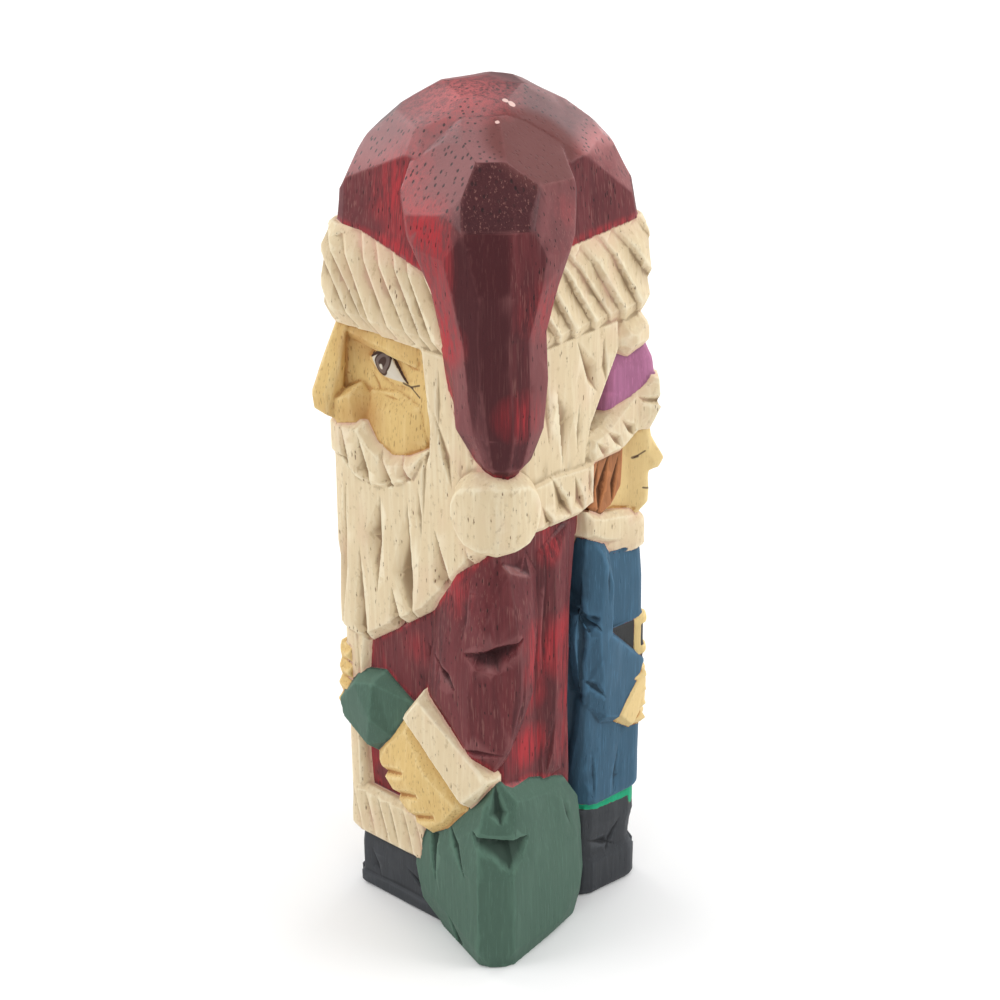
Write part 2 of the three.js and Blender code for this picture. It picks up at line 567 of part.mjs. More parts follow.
add('sleeve', raised(farSleeveEdge.map(far), farSleeveCrest.map(far)));
add('cuff', raised(farCuffEdge.map(far), farCuffCrest.map(far)));

// Its fingertips reach round the corner to the near side.
const farFingers = [0, 1, 2, 3].map((i) => {
  const z = 64 + 5.8 * i;
  const sides = [-1, 1].flatMap((up) => [
    [FRONT - 9, z + 3 * up, 3], [FRONT - 1, z + 2.7 * up, 3.4], [FRONT + 3.4, z + 2 * up, 1.6],
    [FRONT - 9, z + 3 * up, -3], [FRONT + 3, z + 2 * up, -3],
  ]);
  return lump([...sides, [FRONT - 9, z, 4.4], [FRONT - 1, z, 5 - 0.4 * i], [FRONT + 3, z, 3]]);
});
add('hand', raised(farPalmEdge.map(far), farPalmCrest.map(far)), ...farFingers);

// Sack: its gathered neck in the fist and its body on the left corner, with chisel notches.
const neckEdge = [
  [-59.6, 62, 0], [-58.6, 70, 0], [-54.6, 77.4, 0], [-43.7, 82.4, 0],
  [-33, 76, 0], [-34, 60, 0], [-46, 52, 0], [-57.7, 57.6, 0],
];
const neckCrest = [
  [-55, 66, 4.6], [-52, 75, 4.4], [-45.5, 78, 4.6], [-42, 66, 5.2], [-47, 58, 4.6], [-38, 70, 3],
];
const neckNotches = [
  notch([[-45, 78, 4], [-40.6, 66, 5], [-38.4, 76, 3]], [-41, 73, 1.6]),
  notch([[-55, 65, 4.6], [-47, 70, 5], [-49, 58, 4.4]], [-50, 64, 2.6]),
];
add('sack', cut(raised(neckEdge, neckCrest), neckNotches));

const sackEdge = [
  [-30, 30, 0], [-20, 39, 0], [-11, 46, 0], [-6, 54, 0], [0, 60, 0], [14, 55, 0], [29, 48, 0],
  [34.6, 39.5, 0], [37.2, 28, 0], [37.8, 14, 0], [34, 4.4, 0], [29, 0, -0.4],
  [15, 0, 3.6], [-12, 0, 2.6], [-22, 0, 0], [-31, 7, 0.6], [-33.6, 18, 0.6],
];
const sackCrest = [
  [-25, 28, 3], [-26, 12, 3.2], [-14, 3, 3.6], [-10, 40, 3.4], [-3, 52, 3.6],
  [4, 53, 3.6], [18, 49, 3], [27, 42, 3], [31, 28, 3.2], [31, 12, 3.2], [21, 4, 4],
];
// The sack's blunt front, which runs down between its two sides.
const sackFront = [
  vec(48.4, -6.2, 0), vec(49, -1.8, 0), vec(48.2, 3.6, 0), vec(49.8, -6.8, 6), vec(49.8, 4, 6),
  vec(48.8, -6.4, 30), vec(48.8, 4, 30), vec(45.6, -6, 44), vec(45.6, 4, 44),
];
const sackRoots = sackEdge.map(([round, z]) => [round, z, -DEEP]);
const sackBody = block([...[...sackEdge, ...sackCrest, ...sackRoots].map(on), ...sackFront]);
const sackNotches = [
  notch([[-25, 33.5, 2], [-21.6, 34, 2.4], [-22.2, 17, 2.6]], [-23, 28, -0.4]),
  notch([[-27, 23, 2], [-24, 26, 2.4], [-22.4, 17, 2.6]], [-24, 22, 0.4]),
  notch([[-17, 39.5, 2.4], [-13.4, 40, 2.8], [-5.4, 28, 4.4]], [-14, 37, 0.6]),
  notch([[-7, 42.4, 4.4], [9.4, 39, 4.4], [1.2, 31.5, 5.4]], [1.2, 37.6, 0.8]),
  notch([[-3.4, 58, 3], [1.2, 57.4, 3], [-0.8, 49, 3.4]], [-1, 55, 0.6]),
  notch([[-20, 7, 2], [-13, 8, 2.4], [-15, -2, 2.2], [-19, -2, 2]], [-16.4, 1, -1.6]),
];
add('sack', cut(sackBody, sackNotches));

// The child, from the boots up: its body fills the back corner of the post.
const childLevels = [
  { z: 30, back: 44, out: -0.5, edge: 38 },
  { z: 34, back: 45.2, out: 0.4, edge: 37 },
  { z: 60, back: 45.4, out: 0.6, edge: 34 },
  { z: 84, back: 45.6, out: 0.4, edge: 33 },
  { z: 104, back: 45.6, out: 0.6, edge: 34.5 },
  { z: 113, back: 45, out: 0.4, edge: 36.5 },
  { z: 126, back: 42, out: -1, edge: 38.5 },
];
const childRing = ({ z, back, out, edge }) => {
  return outline(z, [[0, 8], flat(edge + 1, -6), flat(edge + 5, out), [2.4, back - 0.8]], 1.2);
};
add('blue coat', loft(childLevels.map(childRing)));

const childBootLevels = [
  { z: 0, back: 42.6, out: -0.8 },
  { z: 1.2, back: 44, out: 0.3 },
  { z: 11, back: 44, out: 0.3 },
  { z: 14, back: 42, out: -1 },
  { z: 20, back: 42.4, out: -0.6 },
  { z: 24, back: 43.4, out: 0 },
  { z: 28, back: 43, out: -0.4 },
];
const childBootRing = ({ z, back, out }) => {
  return outline(z, [[0, 8], flat(37, -6), flat(40.5, out), [3, back]], 1.8);
};
add('child boots', cut(loft(childBootLevels.map(childBootRing)), [bootSplit(36, 48, 31)]));
const trouserRing = (z) => outline(z, [[0, 8], flat(39, -5), flat(42, -0.4), [2.6, 43.2]], 1.4);
add('trousers', loft([26, 33].map(trouserRing)));

const childUpperEdge = [
  [38.6, 126, -1], [49.4, 121, -1], [51.6, 104, 0], [51, 86, 0],
  [45, 62, 0], [37.6, 72, -0.4], [36.6, 100, -1],
];
const childUpperCrest = [[43.4, 116, 2.6], [47.4, 110, 2.8], [42.4, 92, 3.2], [48.2, 88, 3], [44, 70, 3.2]];
const childForeEdge = [
  [38.4, 82, -0.4], [51, 86.4, 0.2], [63.6, 76.4, 0.8], [51.4, 57.6, 0.4], [43.6, 59.6, 0], [37.8, 70, -0.4],
];
const childForeCrest = [[43, 79, 3], [51, 82, 3], [60.6, 74.4, 3], [52, 61, 3.2], [45, 64, 3.2]];
const childPalmEdge = [[62.6, 77, 0], [51, 58.6, 0], [53, 52, 0], [59, 52.4, 0], [66, 60, 0], [66, 74, 0]];
const childPalmCrest = [[61, 72.6, 3.8], [53.6, 60, 3.8], [56, 55.4, 3.8], [61, 61, 4.2]];
for (const side of [near, far]) {
  const at = (spots) => spots.map(side);
  const upper = raised(at(childUpperEdge), at(childUpperCrest));
  const fore = raised(at(childForeEdge), at(childForeCrest));
  const cuts = [
    notch(at([[37, 100, 0], [41, 98.4, 2.4], [38, 93, 1]]), side([39, 97, -1.4])),
    ...stroke(at([[47.6, 120, 2.4], [46.8, 90, 3.2]]), 1.8, 0.8),
    ...stroke(at([[40.4, 72, 1.6], [49.6, 62.6, 3.4]]), 1.8, 0.7),
  ];
  add('blue coat', cut(upper.add(fore), cuts));
  const fingers = [0, 1, 2, 3].map((i) => {
    const z = 56.6 + 4.9 * i;
    const sides = [-2.3, 2.3].flatMap((up) => [
      [57, z + up, 2], [BACK - 1, z + up, 3.8], [BACK + 1, z + up, 3.6],
      [57, z + up, -3], [BACK + 1, z + up, -3],
    ]);
    return lump(at([...sides, [57, z, 3.8], [BACK - 1.5, z, 5.8]]));
  });
  add('child hand', raised(at(childPalmEdge), at(childPalmCrest)), ...fingers);
}

// Belt with its buckle, and the child's collar.
const strap = (round, low, high, out) => {
  const corner = [-3, 3].map((past) => [BACK + past, out + 1.2]);
  const stops = [[round, out], ...corner, [2 * BACK - round, out]];
  return [low, high].flatMap((z) => stops.map(([at, proud]) => [at, z, proud]));
};
add('belt', lump([...strap(49, BELT_LOW, BELT_TOP, 1.6), ...strap(49, BELT_LOW, BELT_TOP, -4)]));
const buckle = lump([
  ...strap(BACK - 4.6, BELT_LOW - 0.4, BELT_TOP + 0.6, 3.2),
  ...strap(BACK - 5.4, BELT_LOW - 1.2, BELT_TOP + 1.4, 2),
  ...strap(BACK - 5.4, BELT_LOW - 0.4, BELT_TOP + 0.6, -4),
]);
const hollow = strap(BACK - 2.4, BELT_LOW + 2.4, BELT_TOP - 2.4, 4);
add('buckle', cut(buckle, [notch(hollow, [BACK, (BELT_LOW + BELT_TOP) / 2, 2.2])]));
const childCollarLevels = [
  { z: CHILD_COLLAR, back: 45.4, out: 0 },
  { z: CHILD_COLLAR + 3.5, back: 46.6, out: 1.4 },
  { z: CHILD_COLLAR + 13.5, back: 46, out: 0.6 },
  { z: CHILD_COLLAR + 20.5, back: 42, out: -2.4 },
];
const childCollarRing = ({ z, back, out }) => {
  return outline(z, [[0, 8], flat(39, -5), flat(42.6, out), [4, back - 2], [1, back]], 1);
};
add('child collar', loft(childCollarLevels.map(childCollarRing)));

// The child's head: chin, mouth, nose and brow on the back corner, and hair at the side.
const childFaceLevels = [
  { z: 124.6, back: 43.4, out: -2.6 },
  { z: 128.4, back: 46.8, out: -0.8 },
  { z: 132, back: 47, out: -0.4 },
  { z: 136, back: 46.8, out: -0.2 },
  { z: 143, back: 47.4, out: -0.4 },
  { z: 147, back: 47.8, out: -0.8 },
  { z: 156, back: 46, out: -0.8 },
];
const childFaceRing = ({ z, back, out }) => {
  return outline(z, [[0, 8], flat(44, -4), flat(49.5, out - 0.5), flat(55.5, out), [2.6, back - 0.6]], 1);
};
add('child face', loft(childFaceLevels.map(childFaceRing)));
const childBridge = [[1, 47, 148], [2.8, 45, 146]];
const childNoseTip = [[1.2, 50.6, 141.6], [2.6, 48, 140.6], [1.4, 48.6, 138.6], [2.6, 45, 138]];
add('child nose', block(bothSides([...childBridge, ...childNoseTip])));

const childHairEdge = [[38.6, 150], [39.4, 133], [43, 128.4], [48, 131], [52.6, 140], [53.4, 152]];
const childLocks = [
  [[44, 151, 1.5], [42.4, 130, 1.5]],
  [[48.6, 152, 1.5], [45.6, 131, 1.5]],
];
for (const side of [near, far]) {
  const cuts = childLocks.map((lock) => stroke(lock.map(side), 2.2, 1));
  add('child hair', cut(slab(childHairEdge.map(side), 1.5, 1.1), cuts));
}

// The child's fur band, cap and pompom, under the man's brim.
const childBandEdge = twinBack([
  [BACK - 1, CHILD_BAND], [50, CHILD_BAND - 3.2], [40.4, CHILD_BAND - 5.4],
  [37, CHILD_BAND + 1.6], [46, CHILD_BAND + 7.8], [BACK - 1, CHILD_BAND + 13.6],
]);
const childBandStroke = { first: 40, last: 60, low: 149.5, high: 161, lean: -4.6, out: 3.8, seed: 120 };
const childBandStrokes = [
  strokes({ ...childBandStroke, gap: 4.4, wide: 1.8, deep: 0.8 }),
  strokes({ ...childBandStroke, gap: 10, wide: 1.8, deep: 0.8, side: far }),
];
add('child band', cut(slab(childBandEdge, 3.8, 1.8), childBandStrokes));
const childCapLevels = [
  { z: CHILD_CAP_TOP - 25, back: 47, out: 1.2, edge: 44 },
  { z: CHILD_CAP_TOP - 15, back: 48, out: 1.6, edge: 44.5 },
  { z: CHILD_CAP_TOP - 8, back: 46.8, out: 1.4, edge: 45 },
  { z: CHILD_CAP_TOP, back: 43, out: -1, edge: 46 },
];
const childCapRing = ({ z, back, out, edge }) => {
  return outline(z, [[0, 12], flat(edge - 1, -6), flat(edge + 2, out), [4, back - 2.4], [1, back]], 0.9);
};
add('child cap', loft(childCapLevels.map(childCapRing)));
const knobRows = [
  { lift: -40, count: 7 },
  { lift: 0, count: 9 },
  { lift: 40, count: 7 },
];
add('child pompom', whittled([0, 36.4, CHILD_CAP_TOP + 1], [11, 9, 6], knobRows, { seed: 200 }));

// One solid of all the forms, cut flat underneath.
const whole = join(forms.map(({ body }) => body)).trimByPlane([0, 0, 1], 0);

function meshOf(body) {
  const { vertProperties, triVerts } = body.getMesh();
  const geometry = new THREE.BufferGeometry();
  geometry.setAttribute('position', new THREE.BufferAttribute(vertProperties, 3));
  geometry.setIndex(new THREE.BufferAttribute(triVerts, 1));
  return geometry;
}

const resin = new THREE.MeshStandardMaterial({ color: '#7a2b30', roughness: 0.55, metalness: 0 });
const figurine = new THREE.Mesh(meshOf(whole), resin);
figurine.name = 'santa_figurine';

const group = new THREE.Group();
group.add(figurine);
export default group;
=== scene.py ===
"""A folk figurine of a bearded man and a child, back to back, as if whittled out of one square post and painted.

The rough forms are modelled one by one, joined and given one even skin, and then the skin is carved with
knife strokes and painted. The post stands corner first, so places on it are [round, height, out]: how far
round from the left corner, how high, and how far proud of the post's sides, all in millimetres.
"""

import json
import math

import bpy
import numpy as np
from bpy.props import FloatProperty, FloatVectorProperty, IntProperty, PointerProperty
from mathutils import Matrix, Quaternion, Vector
from mathutils.bvhtree import BVHTree

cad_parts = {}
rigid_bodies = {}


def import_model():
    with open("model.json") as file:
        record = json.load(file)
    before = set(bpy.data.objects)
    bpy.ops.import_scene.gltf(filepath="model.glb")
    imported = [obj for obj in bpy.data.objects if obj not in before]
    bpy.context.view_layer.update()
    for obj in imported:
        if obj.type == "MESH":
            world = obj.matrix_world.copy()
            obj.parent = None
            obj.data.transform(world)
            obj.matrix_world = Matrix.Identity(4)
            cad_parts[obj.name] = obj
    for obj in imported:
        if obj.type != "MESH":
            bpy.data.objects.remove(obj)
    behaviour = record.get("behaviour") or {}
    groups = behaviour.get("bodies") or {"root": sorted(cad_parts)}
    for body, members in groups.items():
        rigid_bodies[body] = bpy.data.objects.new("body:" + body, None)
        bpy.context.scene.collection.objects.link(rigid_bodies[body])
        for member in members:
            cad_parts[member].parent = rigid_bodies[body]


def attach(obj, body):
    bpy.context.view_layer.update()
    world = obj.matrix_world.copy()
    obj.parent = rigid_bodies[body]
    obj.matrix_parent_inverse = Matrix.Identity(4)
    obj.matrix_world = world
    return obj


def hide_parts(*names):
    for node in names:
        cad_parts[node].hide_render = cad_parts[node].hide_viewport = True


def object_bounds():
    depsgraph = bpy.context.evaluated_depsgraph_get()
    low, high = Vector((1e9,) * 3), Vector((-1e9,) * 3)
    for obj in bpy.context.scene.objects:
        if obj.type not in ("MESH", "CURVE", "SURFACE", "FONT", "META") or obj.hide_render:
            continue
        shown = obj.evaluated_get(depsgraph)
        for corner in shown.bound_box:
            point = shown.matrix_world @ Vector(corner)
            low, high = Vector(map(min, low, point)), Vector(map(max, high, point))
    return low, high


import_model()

bl_info = {
    "name": "Whittled Figurine",
    "version": (1, 0, 0),
    "blender": (4, 5, 0),
    "location": "3D View > Sidebar > Figurine",
    "description": "Models, carves and paints a figurine in the look of a whittled post",
    "category": "Add Mesh",
}

MM = 0.001
CAD_BOX = [list(corner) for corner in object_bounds()]

# Driving dimensions, the same as those of the solid.
TALL = CAD_BOX[1][2] / MM  # whole height
HALF = 43.0  # half the diagonal of the square post, to its sharp corner
SIDE = HALF * math.sqrt(2)  # width of one side of the post
SOFT = 3.5  # how much of each side a rounded corner takes
DEEP = 7.0  # how far each raised form is let into the body

FRONT = -SIDE
BACK = SIDE

BOOT = 18.0
HEM_LOW = 19.5
HEM_TOP = 37.0
BEARD_TIP = 88.5
COLLAR_LOW = 134.0
COLLAR_TOP = 151.0
BRIM_LOW = 187.5
BRIM_TOP = 216.0
BELT_LOW = 79.0
BELT_TOP = 90.0
CHILD_COLLAR = 110.5
CHILD_BAND = 153.0
CHILD_CAP_TOP = 181.0

PIECE = "santa_figurine_carved"
FORMS = "rough forms"


# Places on the post.


def corner_at(quarters):
    """The way that a corner faces, as one row for each number of quarter turns."""
    turn = np.asarray(quarters) * math.pi / 2
    return np.stack([np.cos(turn), np.sin(turn)], axis=-1)


def place(spots):
    """The points in space of places on the post, in millimetres, and the level ways they face."""
    rows = np.array([(*spot, 0.0)[:3] for spot in spots], dtype=float)
    around, height, out = rows.T
    corner = np.round(around / SIDE)
    past = around - corner * SIDE
    point = corner_at(corner) * HALF
    before = (corner_at(corner - 1) - corner_at(corner)) / math.sqrt(2)
    after = (corner_at(corner + 1) - corner_at(corner)) / math.sqrt(2)
    turn = np.clip(past / SOFT, -1, 1)
    facing = corner_at(corner + turn / 2)
    point += before * (SOFT * (1 - turn) ** 2 / 4)[:, None]
    point += after * (SOFT * (1 + turn) ** 2 / 4)[:, None]
    beyond = np.maximum(np.abs(past) - SOFT, 0)
    point += np.where(past[:, None] < 0, before, after) * beyond[:, None]
    point += facing * out[:, None]
    return np.column_stack([point, height]), np.column_stack([facing, np.zeros(len(rows))])


def on(spots):
    """The points in space of places on the post."""
    return place(spots)[0]


def unwrap(points):
    """How far round the post and how far proud of its sides each point lies, the other way about."""
    x, y = points[:, 0], points[:, 1]
    corner = np.round(np.arctan2(y, x) / (math.pi / 2))
    face = corner_at(corner)
    ahead = x * face[:, 0] + y * face[:, 1]
    across = y * face[:, 0] - x * face[:, 1]
    out = (ahead + np.abs(across) - HALF) / math.sqrt(2)
    soft = (SOFT + np.maximum(out, -2)) / math.sqrt(2)
    rounded = SOFT * np.abs(across) / soft
    past = np.where(np.abs(across) < soft, rounded, math.sqrt(2) * np.abs(across) - out)
    return corner * SIDE + np.sign(across) * past, out


def near(spots):
    """Places on the side that shows."""
    return [tuple(spot) for spot in spots]


def far(spots):
    """The same places on the other side, as in a mirror through the front and back corners."""
    return [(2 * FRONT - spot[0], *spot[1:]) for spot in spots]


def twin(half):
    """An outline that is the same on both sides of the front corner."""
    return near(half) + far(half)[::-1]


def twin_back(half):
    """An outline that is the same on both sides of the back corner."""
    return near(half) + [(2 * BACK - spot[0], *spot[1:]) for spot in half][::-1]


def scatter(n):
    """The same scatter on every run, from -1 to 1."""
    wave = math.sin(n * 127.1 + 311.7) * 43758.5453
    return (wave - math.floor(wave)) * 2 - 1


# Modelling.


def deselect():
    """Deselects everything, as operators act on all that is selected."""
    for thing in bpy.context.selected_objects:
        thing.select_set(False)


def put(body, points, first=0):
    """Moves a body's vertices, from one on, to points in millimetres."""
    for vertex, point in zip(body.data.vertices[first:], points):
        vertex.co = Vector(point) * MM


def start_ring(points, fill):
    """A ring of vertices pulled to the points given."""
    deselect()
    bpy.ops.mesh.primitive_circle_add(vertices=len(points), radius=MM, fill_type=fill)
    body = bpy.context.object
    put(body, points)
    return body


def edit(body, *steps):
    """Runs steps on the whole of a body in edit mode."""
    deselect()
    body.select_set(True)
    bpy.context.view_layer.objects.active = body
    bpy.ops.object.mode_set(mode="EDIT")
    for step in steps:
        bpy.ops.mesh.select_all(action="SELECT")
        step()
    bpy.ops.object.mode_set(mode="OBJECT")
    return body


def face_out():
    """Turns all faces outwards."""
    bpy.ops.mesh.normals_make_consistent(inside=False)


def block(points):
    """A whittled block: the flat-sided body round some points in space."""
    body = start_ring(points, "NOTHING")
    merge = lambda: bpy.ops.mesh.remove_doubles(threshold=0.01 * MM)
    return edit(body, merge, bpy.ops.mesh.convex_hull, face_out)


def lump(spots):
    """A whittled block round places on the post."""
    return block(on(spots))


def raised(edge, crest):
    """A block raised on the post from its outline up to the places that stand highest."""
    roots = [(spot[0], spot[1], -DEEP) for spot in edge]
    return lump([*edge, *crest, *roots])


def loft(rings):
    """A skin over rings of as many points each, extruded from the first ring to the last."""
    count = len(rings[0])
    body = start_ring(rings[0], "NGON")
    for step, ring in enumerate(rings[1:], start=1):
        bpy.ops.object.mode_set(mode="EDIT")
        if step == 1:
            bpy.ops.mesh.select_all(action="SELECT")
        bpy.ops.mesh.extrude_region_move()
        bpy.ops.object.mode_set(mode="OBJECT")
        put(body, ring, step * count)
    return edit(body, face_out)


def outline(height, corners, bevel):
    """A level outline through corners (x, y) of the near side, mirrored to the far one and bevelled."""
    near_side = [np.array([x, y, height]) for x, y in corners]
    far_side = [point * (-1, 1, 1) for point in near_side[::-1]]
    whole = near_side + far_side
    whole = [point for i, point in enumerate(whole) if np.linalg.norm(point - whole[i - 1]) > 1e-6]
    points = []
    for i, point in enumerate(whole):
        if abs(point[0]) + abs(point[1]) < HALF - 9:
            points.append(point)
            continue
        for other in (whole[i - 1], whole[(i + 1) % len(whole)]):
            points.append(point + (other - point) / np.linalg.norm(other - point) * bevel)
    return points


def flat(around, out=0.0):
    """A spot (x, y) of a level outline, on the post with sharp corners."""
    x = HALF + (out - abs(around)) / math.sqrt(2)
    return x, math.copysign(abs(around) + out, around) / math.sqrt(2)


def girdle(height, out):
    """A level ring round the whole post."""
    turns = [corner * SIDE + part * SOFT for corner in range(4) for part in (-1, 0, 1)]
    return on([(around, height, out) for around in turns])


def slab(edge, out, bevel=1.4):
    """A raised slab: extruded flat from its outline, bevelled, creased at the corners and bent round the post."""
    turns = sum(a[0] * b[1] - b[0] * a[1] for a, b in zip(edge, [*edge[1:], edge[0]]))
    edge = edge if turns > 0 else edge[::-1]
    body = start_ring([(around, height, -DEEP) for around, height in edge], "NGON")
    bpy.ops.object.mode_set(mode="EDIT")
    bpy.ops.mesh.select_all(action="SELECT")
    rise = (DEEP + out - bevel) * MM
    bpy.ops.mesh.extrude_region_move(TRANSFORM_OT_translate={"value": (0, 0, rise)})
    bpy.ops.mesh.inset(thickness=bevel * MM, depth=bevel * MM, use_even_offset=True)
    rounds = [spot[0] for spot in edge]
    corners = range(math.floor(min(rounds) / SIDE), math.ceil(max(rounds) / SIDE) + 1)
    for crease in [corner * SIDE + part * SOFT for corner in corners for part in (-1, 0, 1)]:
        bpy.ops.mesh.select_all(action="SELECT")
        bpy.ops.mesh.bisect(plane_co=(crease * MM, 0, 0), plane_no=(1, 0, 0))
    bpy.ops.object.mode_set(mode="OBJECT")
    flat_places = read_points(body.data)
    raised_out = np.maximum(flat_places[:, 2], 0)
    bent = on(np.column_stack([flat_places[:, :2], raised_out]))
    shrink = 1 + np.minimum(flat_places[:, 2], 0) * math.sqrt(2) / HALF
    bent[:, :2] *= shrink[:, None]
    put(body, bent)
    return edit(body, face_out)


def whittled(middle, radii, rows, square=2.0, seed=0, turned=0.0):
    """An egg whittled flat all over: bisected by planes that touch it, in rows of (lift, count)."""
    deselect()
    bpy.ops.mesh.primitive_cube_add(size=2)
    body = bpy.context.object
    put(body, [np.sign(vertex.co) * radii for vertex in body.data.vertices])
    rx, ry, rz = radii
    steps = []
    for row, (lift, count) in enumerate(rows):
        for i in range(count):
            n = seed + row * 40 + i
            turn = turned + (i + 0.18 * scatter(n) + 0.5 * (row % 2)) / count * 2 * math.pi
            tilt = math.radians(lift + 4 * scatter(n + 17))
            way = Vector((math.cos(turn) * math.cos(tilt), math.sin(turn) * math.cos(tilt), math.sin(tilt)))
            plan = (abs(rx * way.x) ** square + abs(ry * way.y) ** square) ** (1 / square)
            reach = math.hypot(plan, rz * way.z) * (1 - 0.012 * (1 + scatter(n + 31)))
            steps.append(plane_cut(way * reach * MM, way))
    edit(body, *steps)
    put(body, read_points(body.data) + np.array(middle))
    return body


def plane_cut(point, way):
    """An edit step that cuts off what lies past a plane and closes the cut."""
    return lambda: bpy.ops.mesh.bisect(plane_co=point, plane_no=way, use_fill=True, clear_outer=True)


def notch(edge, deepest):
    """A chisel's bite: a block from over the surface down to its deepest place."""
    over = [(*spot, 0.0)[:3] for spot in edge]
    return lump([*over, *[(around, height, out + 4) for around, height, out in over], deepest])


def cut(body, tools):
    """Cuts tools out of a body."""
    for tool in tools:
        hollow = body.modifiers.new("bite", "BOOLEAN")
        hollow.operation = "DIFFERENCE"
        hollow.solver = "EXACT"
        hollow.object = tool
        apply_modifier(body, hollow)
        bpy.data.objects.remove(tool)
    return body


def apply_modifier(body, modifier):
    """Applies one modifier of a body."""
    deselect()
    body.select_set(True)
    bpy.context.view_layer.objects.active = body
    bpy.ops.object.modifier_apply(modifier=modifier.name)


def read_points(mesh):
    """A mesh's points in millimetres, one row each."""
    flat_list = np.empty(len(mesh.vertices) * 3, np.float32)
    mesh.vertices.foreach_get("co", flat_list)
    return flat_list.reshape(-1, 3).astype(float) / MM


def write_points(mesh, points):
    """Puts a mesh's points back."""
    mesh.vertices.foreach_set("co", (points * MM).astype(np.float32).ravel())
    mesh.update()


def read_normals(mesh):
    """A mesh's vertex normals, one row each."""
    flat_list = np.empty(len(mesh.vertices) * 3, np.float32)
    mesh.vertex_normals.foreach_get("vector", flat_list)
    return flat_list.reshape(-1, 3).astype(float)


def add_form(name, *bodies):
    """Keeps bodies as rough forms of one name."""
    forms = bpy.data.collections.get(FORMS) or bpy.data.collections.new(FORMS)
    if FORMS not in bpy.context.scene.collection.children:
        bpy.context.scene.collection.children.link(forms)
    for body in bodies:
        body["form"] = name
        for collection in list(body.users_collection):
            collection.objects.unlink(body)
        forms.objects.link(body)


# The man's coat, its trim and hem, and his boots.

COAT_LEVELS = [
    (19.4, 38.4, -2.1, 35),
    (50, 41, -1.2, 34),
    (74, 41.5, -0.8, 32.5),
    (106, 41.5, -0.8, 33.5),
    (130, 41, -0.8, 36),
    (152, 39, -1.5, 36.5),
]
BOOT_LEVELS = [(0, -1), (1.2, 0), (4.4, 0), (5.2, -1), (13, -0.6), (BOOT + 3, -1.7)]


def coat_ring(height, front, out, edge):
    corners = [(0, -front), flat(0, out), flat(edge, out), flat(edge + 1.5, -6), (0, 14)]
    return outline(height, corners, 1.6)


def boot_ring(height, out):
    return outline(height, [(0, -HALF - out), flat(0, out), flat(36, out), (0, 14)], 3)


def boot_split(deep, mouth, high):
    """A wedge that parts two boots at a corner of the post."""
    rim = [(x * wide, mouth, z) for x in (-1, 1) for wide, z in ((2.6, -1), (1.6, high))]
    return block([(0, deep, -1), (0, deep, high - 2), *rim])


def make_coat():
    add_form("coat", loft([coat_ring(*level) for level in COAT_LEVELS]))
    fold_edge = [(17, 127, 0), (31, 133, 0), (29, 100, 0), (27.5, 52, 0), (19, 52, 0), (17, 90, 0)]
    add_form("coat", raised(fold_edge, [(23, 122, 1.6), (23.5, 90, 1.8), (23, 58, 1.4)]))
    trim_edge = twin([(FRONT + 5.8, HEM_TOP - 3), (FRONT + 6.4, 60), (FRONT + 9.6, BEARD_TIP + 2)])
    add_form("trim", slab(trim_edge, 1.3, 1.2))
    hem_end = 2 * FRONT - 36
    hem_edge = [(-29.6, HEM_LOW), (hem_end, HEM_LOW), (hem_end, HEM_TOP), (-27, HEM_TOP)]
    add_form("hem", slab(hem_edge, 1.6, 1.8))
    add_form("boots", cut(loft([boot_ring(*level) for level in BOOT_LEVELS]), [boot_split(-34, -46, 22)]))


# The man's head.

FACE_LEVELS = [
    (140, 38, -3, -2.5, -2),
    (152, 41, -2, -1.6, -1.6),
    (163, 42, -2.4, -1.2, -1),
    (171, 42, -3.8, -2.4, -1.4),
    (178, 41.5, -4.6, -3.6, -1.8),
    (182, 41, -3.6, -2.8, -1.8),
    (191, 40, -1.6, -1.4, -1.4),
]
WING_EDGE = [(-60.5, 163.6, 1), (-57, 167, 0), (-52.4, 169.6, -1.4), (-48.6, 166, -1.8), (-48, 157, -1.8), (-58.5, 155, -0.4)]
WING_CREST = [(-58.4, 163.4, 3.8), (-53.4, 166.8, 2.6), (-52, 159, 2.6), (-58, 157.4, 3.4)]
BROW_EDGE = [
    (-58, 182.5, -1.6), (-50, 181, -1.6), (-40, 180, -1.8),
    (-31, 179, -2), (-29, 189, -1.5), (-59, 189, -1.5),
]
BROW_CREST = [(-55, 184.5, -0.2), (-44, 183.2, 0), (-34, 182.5, -0.6)]
CHEEK_EDGE = [
    (-53, 163, -2), (-49, 168, -2.2), (-38, 170, -1.8), (-29.5, 168, -1),
    (-26.5, 158, -0.6), (-31, 149, -0.6), (-42, 147, -0.6), (-51, 155, -1),
]
CHEEK_CREST = [
    (-44, 164, 0.2), (-35, 164.5, 0.4), (-31, 158, 0.6),
    (-36, 152, 1), (-44, 154, 0.8), (-49, 159.5, -0.2),
]
EYE_EDGE = [
    (-50.4, 177, -2.8), (-46.4, 181, -3), (-41, 178.8, -2.8),
    (-34.4, 173, -2), (-40, 172, -2.4), (-46, 173.4, -2.8),
]
EYE_CREST = [(-46, 178, -1.4), (-42.4, 176, -1.2), (-39, 174.6, -1.4)]
WHISKERS = [
    (-51.2, BEARD_TIP - 0.3), (-38, 97.6), (-25.4, 106.6), (-16.1, 117.1), (-7.5, 127.6), (-1, 134),
    (-1, 152), (-13, BRIM_LOW + 2), (-27, BRIM_LOW + 2), (-25, 172), (-24.5, 158), (-30, 149),
]
